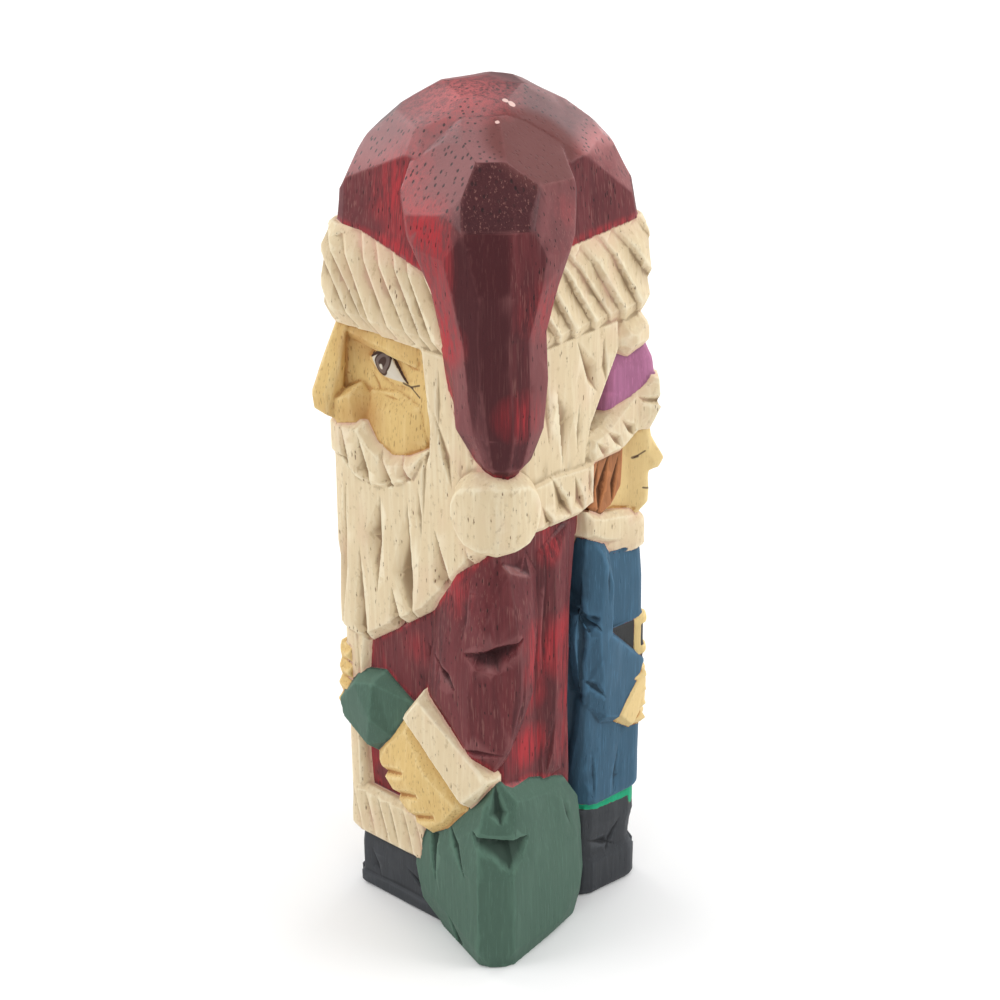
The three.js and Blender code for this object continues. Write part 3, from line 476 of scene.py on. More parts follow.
MOUSTACHE_EDGE = [
    (-57.5, 145), (-52.1, 140.6), (-45, 139.6), (-38.6, 141), (-31, 144.6), (-26, 150),
    (-24.4, 157.4), (-31.5, 153.4), (-38.2, 152), (-44, 154.6), (-49, 159.4), (-57.5, 158.6),
]
HAIR_EDGE = [
    (-14, BRIM_LOW + 2), (49.4, BRIM_LOW + 2), (49.4, 179), (44.6, 170.6), (38.4, 160), (36.4, 153), (36, 148), (-6, 148),
]
COLLAR_EDGE = [
    (-5, COLLAR_TOP), (-5, 136), (14.9, COLLAR_LOW + 0.5), (33, COLLAR_LOW - 0.4),
    (39.4, 135.4), (39.4, COLLAR_TOP - 1), (22, COLLAR_TOP + 1),
]


def both_sides(points):
    """Points in space with their mirror images through the front corner."""
    return [(side * x, y, z) for x, y, z in points for side in (1, -1)]


def face_ring(height, front, socket, cheek, temple):
    spots = [flat(FRONT + 13, socket), flat(FRONT + 23, cheek), flat(FRONT + 36, temple)]
    return outline(height, [(0, -front), *spots, (14, 12), (0, 16)], 1.5)


def make_head():
    add_form("face", loft([face_ring(*level) for level in FACE_LEVELS]))
    bridge = [(1.4, -42.2, 187), (3.8, -39.6, 186), (1.6, -45.2, 177), (4.6, -41.6, 176)]
    tip = [(1.8, -50.2, 165), (2, -49.6, 160.8), (4.6, -46.6, 166), (4.8, -46, 159.6), (1.5, -42, 156.4)]
    add_form("nose", block(both_sides([*bridge, *tip])))
    for side in (near, far):
        add_form("nose", raised(side(WING_EDGE), side(WING_CREST)))
        add_form("brow", raised(side(BROW_EDGE), side(BROW_CREST)))
        add_form("cheek", raised(side(CHEEK_EDGE), side(CHEEK_CREST)))
        add_form("eye", raised(side(EYE_EDGE), side(EYE_CREST)))
        add_form("hair", slab(side(HAIR_EDGE), 2.6, 1.6))
        add_form("collar", slab(side(COLLAR_EDGE), 3.6, 2.4))
    add_form("beard", slab(twin([(-59, BEARD_TIP + 0.5), *WHISKERS]), 2.6, 2.4))
    add_form("moustache", slab(twin(MOUSTACHE_EDGE), 3.6, 2.4))


# The man's cap: fur band, crown, tail and pompom.

BAND_LEVELS = [(BRIM_LOW - 0.5, 1.6), (BRIM_LOW + 4.5, 4.6), (BRIM_TOP - 7, 4.6), (BRIM_TOP, 1.4)]
CROWN_ROWS = [(6, 12), (27, 12), (46, 10), (64, 8), (80, 4)]
TAIL_STOPS = [
    (2, 240, -12, 12, 7, 85),
    (17, 241.4, -19, 19, 9.2, 66),
    (30, 235, -24.6, 24, 10.5, 45),
    (37.5, 223, -22.6, 22.6, 11.5, 20),
    (39.5, 209, -17, 18, 11, 4),
    (40.5, 197, -14.4, 14.4, 10, 0),
    (41, 184, -12.6, 14.6, 9.4, 0),
    (41, 170, -10.8, 13.6, 8.8, -3),
    (41.5, 161, -6.4, 9.8, 7, -6),
    (42.5, 155.5, -0.4, 4, 3, -6),
]
TAIL_SECTION = [
    (1, -0.7), (0.96, 0.1), (0.64, 0.72), (0.24, 1), (-0.32, 0.96), (-0.62, 0.66), (-0.95, 0), (-1, -0.7),
]


# Broad flats cut across the crown and the top of the tail: a place on each, and the way it faces.
CAP_FLATS = [
    ((14, 6, 250.6), (0.33, 0.48, 0.82)),
    ((27.2, -11, 244.4), (0.51, -0.58, 0.63)),
    ((35, 17.6, 233.4), (0.62, 0.72, 0.3)),
    ((40, -16.4, 228), (0.72, -0.66, 0.2)),
    ((8, -27.5, 240), (0.34, -0.74, 0.58)),
]


def tail_ring(stop, x, height, left, right, thick, lean):
    lean = math.radians(lean)
    facing = np.array([math.cos(lean), 0, math.sin(lean)])
    points = []
    for k, (across, out) in enumerate(TAIL_SECTION):
        y = (left + right) / 2 + (across + 0.05 * scatter(stop * 8 + k)) * (right - left) / 2
        proud = (out + 0.05 * scatter(stop * 8 + k + 300)) * thick
        points.append(np.array([x, y, height]) + facing * proud)
    return points


def make_cap():
    add_form("brim", loft([girdle(*level) for level in BAND_LEVELS]))
    crown = whittled((0, 0, BRIM_TOP), (41.4, 41.4, TALL - BRIM_TOP + 0.6), CROWN_ROWS, 6, 5, math.pi / 4)
    low = plane_cut((0, 0, (BRIM_TOP - 6) * MM), (0, 0, -1))
    high = plane_cut((0, 0, TALL * MM), (0, 0, 1))
    flats = [plane_cut(Vector(spot) * MM, way) for spot, way in CAP_FLATS]
    add_form("crown", edit(crown, low, high, flats[0], flats[1], flats[4]))
    tail = loft([tail_ring(i, *stop) for i, stop in enumerate(TAIL_STOPS)])
    add_form("tail", edit(tail, *flats[:4]))
    rim = [(12.4 * math.cos(a), 146 + 12.8 * math.sin(a)) for a in np.arange(24) / 24 * 2 * math.pi]
    pompom = lump(
        [(u, z, 1) for u, z in rim]
        + [(u * 0.97, 146 + (z - 146) * 0.97, 4.5) for u, z in rim]
        + [(u * 0.74, 146 + (z - 146) * 0.74, 8.6) for u, z in rim]
        + [(0, 150, 9.8), (0, 141, 9.8)]
    )
    add_form("pompom", pompom)


# The man's arms and hands.

SLEEVE_EDGE = [
    (-23, 128, -2), (-4, 133, -1), (12.6, 132, -1), (17.6, 122, -0.8), (17.6, 107, -0.6), (15.4, 88, -0.6),
    (11.6, 77, -0.4), (2.4, 66, 0), (-3, 60.4, 0.6), (-15, 69, 0.6), (-27.5, 79.6, 0.4), (-25.6, 95, -1), (-24, 112, -1.8),
]
SLEEVE_CREST = [
    (-13, 124, 1.8), (3, 127, 2.6), (12, 122, 2.2), (-15, 108, 3), (-3, 108, 4.6), (4, 106, 4.6), (13, 104, 3),
    (-18, 94, 3.8), (-7, 88, 5.2), (5, 86, 5), (11, 86, 3.4), (-20.6, 81, 4), (-8, 68.4, 4.2), (2, 72, 4),
]
CUFF_EDGE = [(-27, 81.5, 2), (-35, 70.4, 2), (-8.6, 48.4, 2), (0.8, 61.5, 1.4)]
CUFF_CREST = [(-26.6, 79, 5.6), (-32.6, 71, 5.6), (-10, 51, 5.6), (-2, 61.4, 5.2)]
PALM_EDGE = [
    (-33, 71, 1.4), (-43, 59.4, 1.2), (-47.6, 52.6, 0.8), (-46, 47.6, 0.8), (-42.4, 43.4, 0.8), (-37.8, 38.2, 0.8),
    (-31.4, 33.6, 0.8), (-25, 32.2, 0.8), (-17, 37, 1.2), (-8.6, 47.4, 1.4),
]
PALM_CREST = [
    (-33, 66, 4.8), (-41, 57.6, 4.8), (-44.4, 51.6, 4.2), (-42, 47, 4.4), (-36, 41.4, 4.6), (-29.6, 36.4, 4.4),
    (-24.6, 36, 4.6), (-18, 41.4, 5), (-13, 48, 5.2), (-30, 50, 6.8), (-24, 56, 6.6),
]


def far_finger(i):
    """A fingertip of the right hand, which reaches round the front corner."""
    height = 64 + 5.8 * i
    spots = [(FRONT - 9, height, 4.4), (FRONT - 1, height, 5 - 0.4 * i), (FRONT + 3, height, 3)]
    for up in (-1, 1):
        spots += [(FRONT - 9, height + 3 * up, 3), (FRONT - 1, height + 2.7 * up, 3.4)]
        spots += [(FRONT + 3.4, height + 2 * up, 1.6)]
        spots += [(FRONT - 9, height + 3 * up, -3), (FRONT + 3, height + 2 * up, -3)]
    return lump(spots)


def make_arms():
    add_form("sleeve", raised(SLEEVE_EDGE, SLEEVE_CREST))
    add_form("cuff", raised(CUFF_EDGE, CUFF_CREST))
    add_form("hand", raised(PALM_EDGE, PALM_CREST))
    sleeve_edge = [(-22, 128, -2), (14, 130, -2), (17, 96, -1.4), (8, 66, -1), (-28, 62, -1), (-30, 88, -1.4)]
    sleeve_crest = [(-6, 120, 3), (8, 116, 2.6), (-2, 92, 4), (6, 76, 3), (-24, 68, 2.6), (-25, 82, 3)]
    add_form("sleeve", raised(far(sleeve_edge), far(sleeve_crest)))
    cuff_edge = [(-27, 60.5, 1), (-37, 60.5, 1), (-38, 88, 1), (-28, 89.5, 1)]
    cuff_crest = [(-29, 63, 4.4), (-35, 63, 4.4), (-36, 85.5, 4.4), (-30, 86.5, 4.4)]
    add_form("cuff", raised(far(cuff_edge), far(cuff_crest)))
    palm_edge = [(-36, 63, 0), (-52, 62, 0), (-58, 66, 0), (-58, 84, 0), (-36, 86, 0)]
    palm_crest = [(-38, 66, 3.6), (-52, 67, 3.4), (-53, 81, 3.2), (-38, 83, 3.6)]
    add_form("hand", raised(far(palm_edge), far(palm_crest)), *[far_finger(i) for i in range(4)])


def copy_of(body):
    """A copy of a body with a mesh of its own."""
    twin_body = body.copy()
    twin_body.data = body.data.copy()
    bpy.context.collection.objects.link(twin_body)
    return twin_body


# The sack: its gathered neck in the fist and its body on the left corner.

NECK_EDGE = [
    (-62.6, 63, 0), (-61.4, 70.4, 0), (-55, 77.4, 0), (-45, 80, 0),
    (-33.6, 73, 0), (-36, 60, 0), (-47.6, 51.4, 0), (-61, 57.6, 0),
]
NECK_CREST = [
    (-60, 59.6, 3.4), (-60.8, 65, 4.2), (-54.6, 74, 4), (-46.6, 76.6, 4.2),
    (-46, 66, 6.6), (-48.6, 55.6, 5), (-38.6, 69, 2.2), (-39, 60, 3),
]
SACK_EDGE = [
    (-33, 31, 0), (-20, 39, 0), (-11, 46, 0), (-6, 54, 0), (0, 60, 0), (14, 55, 0), (29, 48.4, 0),
    (35, 39.5, 0.4), (36.6, 28, 0.6), (37, 14, 0.8), (35, 5.4, 1.2), (30.6, 0, 2.4),
    (16, 0, 4.6), (-16, 0, 3), (-23, 0, 0.6), (-31, 7, 0.6), (-33.6, 18, 0.6),
]
SACK_CREST = [
    (-25, 28, 3), (-26, 12, 3.2), (-15, 3, 4.4), (-10, 40, 3.6), (-3, 52, 3.6),
    (4, 53, 3.6), (18, 49, 3), (27, 42, 3.2), (31, 28, 4), (32, 12, 4.2), (22, 4, 5.4),
]
SACK_FRONT = [
    (47.6, -6.6, 0), (49.4, -2.8, 0), (49.4, 0.6, 0), (48, 4, 0), (50, -7, 6), (50, 4.2, 6),
    (49, -6.6, 30), (49, 4, 30), (45.8, -6, 44), (45.8, 4, 44),
]


def make_sack():
    add_form("sack neck", raised(NECK_EDGE, NECK_CREST))
    roots = [(around, height, -DEEP) for around, height, _ in SACK_EDGE]
    add_form("sack", block([*on([*SACK_EDGE, *SACK_CREST, *roots]), *SACK_FRONT]))


# The child, from the boots up: its body fills the back corner of the post.

CHILD_LEVELS = [
    (28, 44, -0.5, 38),
    (34, 45.2, 0.4, 37),
    (60, 45.4, 0.6, 34),
    (84, 45.6, 0.4, 33),
    (104, 45.6, 0.6, 34.5),
    (113, 45, 0.4, 36.5),
    (126, 42, -1, 38.5),
]
CHILD_BOOT_LEVELS = [
    (0, 42.6, -0.8), (1.2, 44, 0.3), (11, 44, 0.3), (14, 42, -1), (20, 42.4, -0.6), (24, 43.4, 0), (33, 42.6, -0.6),
]
CHILD_UPPER_EDGE = [
    (40, 126, -1), (47.4, 122, -1), (49, 104, 0), (47.4, 90, 0), (45, 62, 0), (36, 73, -0.4), (34.6, 92, -1),
]
CHILD_UPPER_CREST = [(43.6, 116, 3), (46.6, 108, 3.8), (40.4, 92, 4.2), (45.8, 92, 4.4), (42.6, 70, 4)]
CHILD_FORE_EDGE = [
    (38.4, 84, -0.4), (46, 92.4, 0), (49.4, 91, 0.2), (62, 77, 0.8), (51.4, 57.6, 0.4), (43.6, 59.6, 0), (36.4, 71, -0.4),
]
CHILD_FORE_CREST = [(41, 84, 4.2), (46.4, 90, 4.4), (59.8, 76, 4.4), (52, 61, 4), (44, 64, 4)]
CHILD_PALM_EDGE = [(61, 77.4, 0), (47.4, 62.6, 0), (49, 58, 0), (56, 53, 0), (66, 60, 0), (66, 74, 0)]
CHILD_PALM_CREST = [(59.6, 73, 5.2), (50, 62, 5), (55.4, 56.6, 4.8), (61, 61, 5.2)]
CHILD_COLLAR_LEVELS = [(4, 45.8, -2.4), (6, 45.6, -0.4), (8, 45.8, 0), (12.5, 45.4, 0), (16.5, 42, -2.4)]
CHILD_FACE_LEVELS = [
    (124.6, 43.4, -2.6), (128.4, 46.8, -0.8), (132, 47, -0.4), (136, 46.8, -0.2),
    (143, 47.4, -0.4), (147, 47.8, -0.8), (156, 46, -0.8),
]
CHILD_HAIR_EDGE = [(38.6, 150), (39, 133.6), (43, 129.6), (48, 131), (52.8, 136), (53.2, 152)]
CHILD_BAND_HALF = [
    (BACK, CHILD_BAND), (57.6, 151.4), (50.8, 148), (36.8, 148), (34.6, 152.8),
    (36.4, 157), (41.5, 158.2), (47, 161.4), (52, 164.4), (57, 167), (BACK, 168.6),
]
CHILD_NECK_HALF = [(BACK, 114.6), (44, 120.6), (37.6, 124.6), (37, 133), (44, 130), (52, 128.4), (BACK, 125.6)]
CHILD_CAP_LEVELS = [(-25, 45.4, 0, 44), (-15, 48, 1.6, 44.5), (-8, 46.8, 1.4, 45), (0, 43, -1, 46)]


def strap(around, low, high, out):
    """Places of a strap that runs round the back corner, from one side to the other."""
    stops = [(around, out), (BACK - 1, out + 1.9), (BACK + 1, out + 1.9), (2 * BACK - around, out)]
    return [(at, height, proud) for height in (low, high) for at, proud in stops]


def child_finger(i, side):
    height = 56.6 + 4.9 * i
    spots = [(57, height, 3.8), (BACK - 1.5, height, 5.8)]
    for up in (-2.3, 2.3):
        spots += [(57, height + up, 2), (BACK - 1, height + up, 3.8), (BACK + 1, height + up, 3.6)]
        spots += [(57, height + up, -3), (BACK + 1, height + up, -3)]
    return lump(side(spots))


def make_child_body():
    def coat(height, back, out, edge):
        corners = [(0, 8), flat(edge + 1, -6), flat(edge + 5, out), (2.4, back - 0.8)]
        return outline(height, corners, 1.2)

    def boot(height, back, out):
        return outline(height, [(0, 8), flat(37, -6), flat(40.5, out), (3, back)], 1.8)

    def trouser(height):
        return outline(height, [(0, 8), flat(39, -5), flat(42, -0.4), (2.6, 43.2)], 1.4)

    coat_foot = plane_cut((0, 30 * MM, 32.2 * MM), (0, 0.045, -1))
    add_form("blue coat", edit(loft([coat(*level) for level in CHILD_LEVELS]), coat_foot))
    boot_top = plane_cut((0, 30 * MM, 30.2 * MM), (0, 0.06, 1))
    boots = edit(loft([boot(*level) for level in CHILD_BOOT_LEVELS]), boot_top)
    add_form("boots", cut(boots, [boot_split(36, 48, 31)]))
    add_form("trousers", loft([trouser(26), trouser(35)]))
    for side in (near, far):
        upper = raised(side(CHILD_UPPER_EDGE), side(CHILD_UPPER_CREST))
        fore = raised(side(CHILD_FORE_EDGE), side(CHILD_FORE_CREST))
        bite = notch(side([(37, 100, 0), (41, 98.4, 2.4), (38, 93, 1)]), side([(39, 97, -1.4)])[0])
        add_form("blue coat", cut(upper, [bite]), fore)
        palm = raised(side(CHILD_PALM_EDGE), side(CHILD_PALM_CREST))
        add_form("hand", palm, *[child_finger(i, side) for i in range(4)])
    belt = lump([*strap(43, BELT_LOW - 2, BELT_TOP + 1, 2.1), *strap(43, BELT_LOW - 2, BELT_TOP + 1, -4)])
    add_form("belt", belt)
    buckle = lump([
        *strap(BACK - 3.2, BELT_LOW, BELT_TOP + 0.8, 3.1),
        *strap(BACK - 3.8, BELT_LOW - 0.6, BELT_TOP + 1.4, 2.5),
        *strap(BACK - 3.8, BELT_LOW, BELT_TOP + 0.8, -4),
    ])
    hollow = [place for out in (-2, 12) for place in strap(BACK - 2, BELT_LOW + 1.8, BELT_TOP - 1.2, out)]
    add_form("buckle", cut(buckle, [lump(hollow)]))


def make_child_head():
    def collar(height, back, out):
        corners = [(0, 8), flat(39, -5), flat(42.6, out), (4, back - 2), (1, back)]
        return outline(CHILD_COLLAR + height, corners, 1)

    def face(height, back, out):
        spots = [flat(44, -4), flat(49.5, out - 0.5), flat(55.5, out)]
        return outline(height, [(0, 8), *spots, (2.6, back - 0.6)], 1)

    def cap(height, back, out, edge):
        corners = [(0, 12), flat(edge - 1, -6), flat(edge + 2, out), (4, back - 2.4), (1, back)]
        return outline(CHILD_CAP_TOP + height, corners, 0.9)

    add_form("child collar", loft([collar(*level) for level in CHILD_COLLAR_LEVELS]))
    add_form("child face", loft([face(*level) for level in CHILD_FACE_LEVELS]))
    nose = [(1, 46.6, 149), (2.6, 44.6, 147), (1, 50.6, 142), (2.4, 48, 141), (1.2, 49.2, 139), (2.4, 45.6, 138.4)]
    add_form("child face", block(both_sides(nose)))
    for side in (near, far):
        add_form("child hair", slab(side(CHILD_HAIR_EDGE), 1.5, 1.1))
    add_form("child collar", slab(twin_back(CHILD_NECK_HALF), 2.2, 1.6))
    add_form("child band", slab(twin_back(CHILD_BAND_HALF), 4, 2.2))
    corner = [(CHILD_BAND - 1, 5), (CHILD_BAND + 6, 8.2), (CHILD_BAND + 14.5, 7.6), (CHILD_BAND + 16.5, 3)]
    fold = [(BACK + side * 1.6, height, out) for height, out in corner for side in (-1, 1)]
    ends = (CHILD_BAND, CHILD_BAND + 11)
    fold += [(BACK + side * 8, height, proud) for height in ends for side in (-1, 1) for proud in (-DEEP, 2.6)]
    add_form("child band", lump(fold))
    add_form("child cap", loft([cap(*level) for level in CHILD_CAP_LEVELS]))
    knob = whittled((0, 36.4, CHILD_CAP_TOP + 1), (11, 9, 6), [(-40, 7), (0, 9), (40, 7)], seed=200)
    add_form("child pompom", knob)


# Carving: facets of the knife, and strokes.

# Each form's paint, and its facets: how wide and how tall they are, and how far they rise and fall.
LOOKS = {
    "coat": ("maroon", 10, 30, 0.5),
    "sleeve": ("maroon", 10, 24, 0.4),
    "crown": ("maroon", 11, 10, 0.4),
    "tail": ("maroon", 8, 22, 0.15),
    "brim": ("cream", 6, 6, 0.05),
    "beard": ("cream", 7, 30, 0.16),
    "moustache": ("cream", 6, 8, 0.08),
    "hair": ("cream", 8, 26, 0.2),
    "collar": ("cream", 6, 8, 0.08),
    "trim": ("cream", 5, 20, 0.15),
    "hem": ("cream", 6, 8, 0.15),
    "cuff": ("cream", 7, 7, 0.15),
    "pompom": ("cream", 9, 9, 0.25),
    "child collar": ("cream", 7, 7, 0.3),
    "child band": ("cream", 6, 6, 0.08),
    "child pompom": ("cream", 6, 6, 0.2),
    "face": ("skin", 9, 9, 0.25),
    "nose": ("skin", 8, 8, 0.15),
    "brow": ("skin", 8, 8, 0.2),
    "cheek": ("skin", 8, 8, 0.2),
    "eye": ("skin", 8, 8, 0.0),
    "hand": ("skin", 7, 7, 0.2),
    "child face": ("skin", 6, 6, 0.2),
    "sack": ("green", 11, 22, 0.5),
    "sack neck": ("green", 9, 9, 0.1),
    "boots": ("charcoal", 8, 8, 0.35),
    "blue coat": ("blue", 7, 18, 0.35),
    "trousers": ("bright green", 6, 8, 0.1),
    "child cap": ("purple", 6, 7, 0.3),
    "child hair": ("brown", 5, 12, 0.2),
    "belt": ("black", 6, 6, 0.1),
    "buckle": ("gold", 6, 6, 0.05),
}
PAINTS = sorted({look[0] for look in LOOKS.values()})


class Stroke:
    """A knife stroke between two places on the post. Its steep side is on the left for a skew below 0."""

    def __init__(self, start, end, wide, deep, skew=0.0, taper=0.5):
        self.start = np.array(start, float)
        self.end = np.array(end, float)
        self.wide = wide
        self.deep = deep
        self.skew = skew
        self.taper = taper

    def depth(self, around, height):
        """How deep the stroke cuts at places given by how far round and how high they are."""
        way = self.end - self.start
        length = np.linalg.norm(way)
        way = way / length
        past = np.stack([around - self.start[0], height - self.start[1]])
        along = (past[0] * way[0] + past[1] * way[1]) / length
        off = past[0] * way[1] - past[1] * way[0]
        left = self.wide * (0.5 + 0.5 * self.skew)
        right = self.wide * (0.5 - 0.5 * self.skew)
        share = np.clip(1 - np.where(off < 0, -off / left, off / right), 0, 1)
        fade = np.clip(np.minimum(along, 1 - along) / self.taper + 0.25, 0, 1)
        fade = np.where((along < -0.05) | (along > 1.05), 0, fade)
        return self.deep * share * np.sqrt(fade) * (share > 0)


    def mirrored(self):
        """The same stroke on the far side."""
        start = (2 * FRONT - self.start[0], self.start[1])
        end = (2 * FRONT - self.end[0], self.end[1])
        return Stroke(start, end, self.wide, self.deep, -self.skew, self.taper)


class Bite:
    """A chisel's bite with flat sides, from its outline down to its deepest place."""

    def __init__(self, edge, deepest, deep):
        self.edge = np.array(edge, float)
        self.deepest = np.array(deepest, float)
        self.deep = deep

    def depth(self, around, height):
        """How deep the bite goes at places given by how far round and how high they are."""
        share = np.ones(len(around))
        for start, end in zip(self.edge, np.roll(self.edge, -1, axis=0)):
            across = np.array([start[1] - end[1], end[0] - start[0]])
            inside = (around - start[0]) * across[0] + (height - start[1]) * across[1]
            share = np.minimum(share, inside / ((self.deepest - start) @ across))
        return self.deep * np.clip(share, 0, 1)

    def mirrored(self):
        """The same bite on the far side."""
        edge = [(2 * FRONT - around, height) for around, height in self.edge]
        return Bite(edge, (2 * FRONT - self.deepest[0], self.deepest[1]), self.deep)


def gouge(start, end, wide, deep, skew=0.0, lowest=0.62):
    """A V cut that widens and deepens up to its lowest place; its wide flat side is the left one for a skew below 0."""
    start, end = np.array(start, float), np.array(end, float)
    way = (end - start) / np.linalg.norm(end - start)
    right = np.array([-way[1], way[0]]) if end[1] < start[1] else np.array([way[1], -way[0]])
    middle = start + (end - start) * lowest
    left_side = middle - right * wide * (0.5 - 0.5 * skew)
    right_side = middle + right * wide * (0.5 + 0.5 * skew)
    return Bite([start, left_side, end, right_side], middle, deep)


def row_of_strokes(first, last, gap, low, high, lean, wide=2.0, deep=0.9, seed=0, skew=0.0):
    """Strokes side by side round the post, each leaning by so much over its height."""
    count = round((last - first) / gap)
    found = []
    for i in range(count):
        n = seed + i * 3
        around = first + (i + 0.5 + 0.18 * scatter(n)) * (last - first) / count
        foot = low + (high - low) * 0.06 * (1 + scatter(n + 1))
        head = high - (high - low) * 0.06 * (1 + scatter(n + 2))
        tilt = lean * (1 + 0.2 * scatter(n + 5))
        breadth = wide * (1 + 0.2 * scatter(n + 7))
        found.append(Stroke((around - tilt / 2, head), (around + tilt / 2, foot), breadth, deep, skew))
    return found


def both(found):
    """Cuts on the near side with their mirror images on the far side."""
    return found + [one.mirrored() for one in found]


BEARD_CUTS = [
    gouge((-56, 140), (-59.6, 86), 5, 2.2, -0.5, 0.5),
    gouge((-51.4, 122), (-50.4, 84), 5.4, 2.6, -0.5, 0.75),
    gouge((-42, 140), (-44.8, 106), 7, 2.6, -0.6, 0.45),
    gouge((-38.8, 112), (-34.2, 90), 5.6, 2.6, -0.5, 0.6),
    gouge((-31.4, 141), (-30.8, 100), 8.4, 3.2, -0.7, 0.6),
    gouge((-21.4, 136), (-14.6, 112), 7, 2.8, -0.6, 0.66),
    gouge((-27, 147), (-26, 128), 2.6, 1, -0.4, 0.5),
    gouge((-23.4, 186), (-25.4, 132), 3.6, 1.4, 0.5, 0.4),
    gouge((-20.8, 172), (-13.6, 148), 4, 1.5, 0.5, 0.6),
    gouge((-18, 186), (-19.4, 160), 2.6, 0.8, 0.4, 0.5),
    gouge((-10, 134), (-6, 121), 3, 1.3, -0.5, 0.6),
]
HAIR_CUTS = [
    Bite([(22.4, 176), (25, 151.6), (29.8, 166.4)], (24, 163), 2.2),
    Bite([(30.4, 188), (35.6, 173), (39.8, 169), (39, 178.6)], (36, 176), 2.1),
    gouge((17.6, 187), (19.6, 158), 3, 1, -0.5),
    gouge((32, 170), (31, 154), 3, 1, 0.5),
    gouge((42, 187), (43.6, 170), 3, 1.2, -0.5),
    gouge((9, 186), (11.6, 158), 4, 1.2, 0.5),
    gouge((1, 184), (0, 156), 4, 1.2, -0.5),
    gouge((-6, 186), (-7, 154), 4, 1.2, 0.5),
]
MOUSTACHE_CUTS = [
    gouge((-56.4, 158), (-53.6, 139.6), 5, 2, -0.6),
    gouge((-50, 157), (-44.8, 138.6), 6.4, 2.3, -0.6),
    gouge((-41.8, 154), (-35.2, 139.6), 6, 2.2, -0.6),
    gouge((-34.6, 154.6), (-29, 145), 4.6, 1.8, -0.6),
]
COLLAR_CUTS = [
    gouge((18.8, 151.6), (28.4, 135), 6, 2.2, -0.6),
    gouge((28.8, 148.6), (33.6, 134.6), 4.6, 1.9, -0.5),
    gouge((14.6, 144), (21.4, 133.4), 4.4, 1.8, -0.5),
    gouge((34.6, 149), (38, 136.6), 3.2, 1.3, -0.5),
    gouge((4, 151), (12, 134), 6, 2, -0.5),
    gouge((-4, 151), (4, 135), 6, 2, -0.5),
]
BAND_CUTS = [
    gouge((55, 164), (62.6, 157.6), 3.6, 1.7, 0.4),
    gouge((48.4, 158.8), (55.6, 151), 3.6, 1.7, 0.4),
    gouge((42, 157.4), (49.6, 149.6), 3.4, 1.6, 0.4),
    gouge((37.6, 155.4), (43.6, 148), 3.2, 1.5, 0.4),
]
SLEEVE_CUTS = [
    Bite([(-9.4, 100.6), (-4, 96.6), (0.6, 96), (6.6, 106.4), (-1, 104.6)], (-0.6, 101.6), 4),
    gouge((-24.4, 95.6), (-11.6, 86.6), 3.6, 2, 0.5),
    gouge((-12.6, 68.8), (2, 69.4), 2.6, 1.5, 0.3, 0.5),
    gouge((-20, 108), (-21, 82), 5, 0.7, 0.6),
    gouge((7, 100), (4.6, 68), 6, 0.8, -0.6),
    gouge((-8, 126), (-10, 102), 6, 0.9, -0.6),
]
SACK_CUTS = [
    Bite([(-6, 44), (1.6, 32), (7.4, 41)], (1, 41), 4),
    gouge((-1.8, 61), (0.6, 46), 4.6, 2.2, 0, 0.72),
    Bite([(-27, 34.6), (-22, 17), (-21.6, 35)], (-23, 31), 3),
    gouge((-17.6, 41), (-6, 27), 3.4, 1.6, 0.5, 0.4),
    gouge((-16.4, 11), (-12, -3), 5, 3, 0.5, 0.7),
    gouge((24, 47), (28, 33), 4, 0.7, 0.6),
]
FIST_CUTS = [
    Stroke((-49, 45.4), (-33.6, 51.6), 3.4, 1.9, 0.3, 0.7),
    Stroke((-43.4, 39.6), (-28, 46), 3.4, 1.9, 0.3, 0.7),
    Stroke((-36.4, 34.2), (-22, 40.8), 3.4, 1.9, 0.3, 0.7),
]
FACE_CUTS = [
    gouge((-51, 174.6), (-45.4, 167.6), 2, 0.5, 0.3),
    gouge((-46.4, 168), (-35.6, 168.4), 2.2, 0.55, 0.3),
    gouge((-43.6, 183.4), (-32, 177), 2, 0.5, -0.3),
]
COAT_CUTS = [
    gouge((-24.6, 84), (-28, 96), 3, 1, 0.4),
    gouge((20, 126), (18.6, 84), 3, 1, 0.5),
    gouge((24, 74), (20, 52), 4, 0.9, -0.5),
]
BLUE_CUTS = [
    Stroke((36.6, 134), (36.2, 30), 3, 1.5, -0.2, 0.1),
    gouge((33, 105), (42, 93), 4, 1.8, -0.5, 0.4),
    gouge((36, 79), (44, 70), 3, 1.2, 0.5, 0.4),
    gouge((46, 124), (44, 100), 4, 0.8, 0.6),
    gouge((41, 56), (43, 34), 4, 0.9, -0.5),
    gouge((52, 52), (50, 32), 4, 0.8, 0.5),
]
CHILD_HAIR_CUTS = [
    gouge((46.6, 150), (41.6, 130), 4.4, 2, -0.6, 0.6),
    gouge((50.6, 148), (47.6, 131.6), 3, 1.5, -0.5, 0.6),
    gouge((41.6, 149), (39.6, 135), 2.4, 1.1, -0.4, 0.6),
]
BOOT_CUTS = [
    gouge((-40, 14), (-30, 6), 4, 1, 0.5),
    gouge((-54, 15), (-50, 5), 4, 1, -0.5),
    gouge((40, 20), (52, 14), 4, 1.6, 0.5),
    gouge((54, 24), (48, 12), 4, 1, -0.5),
]


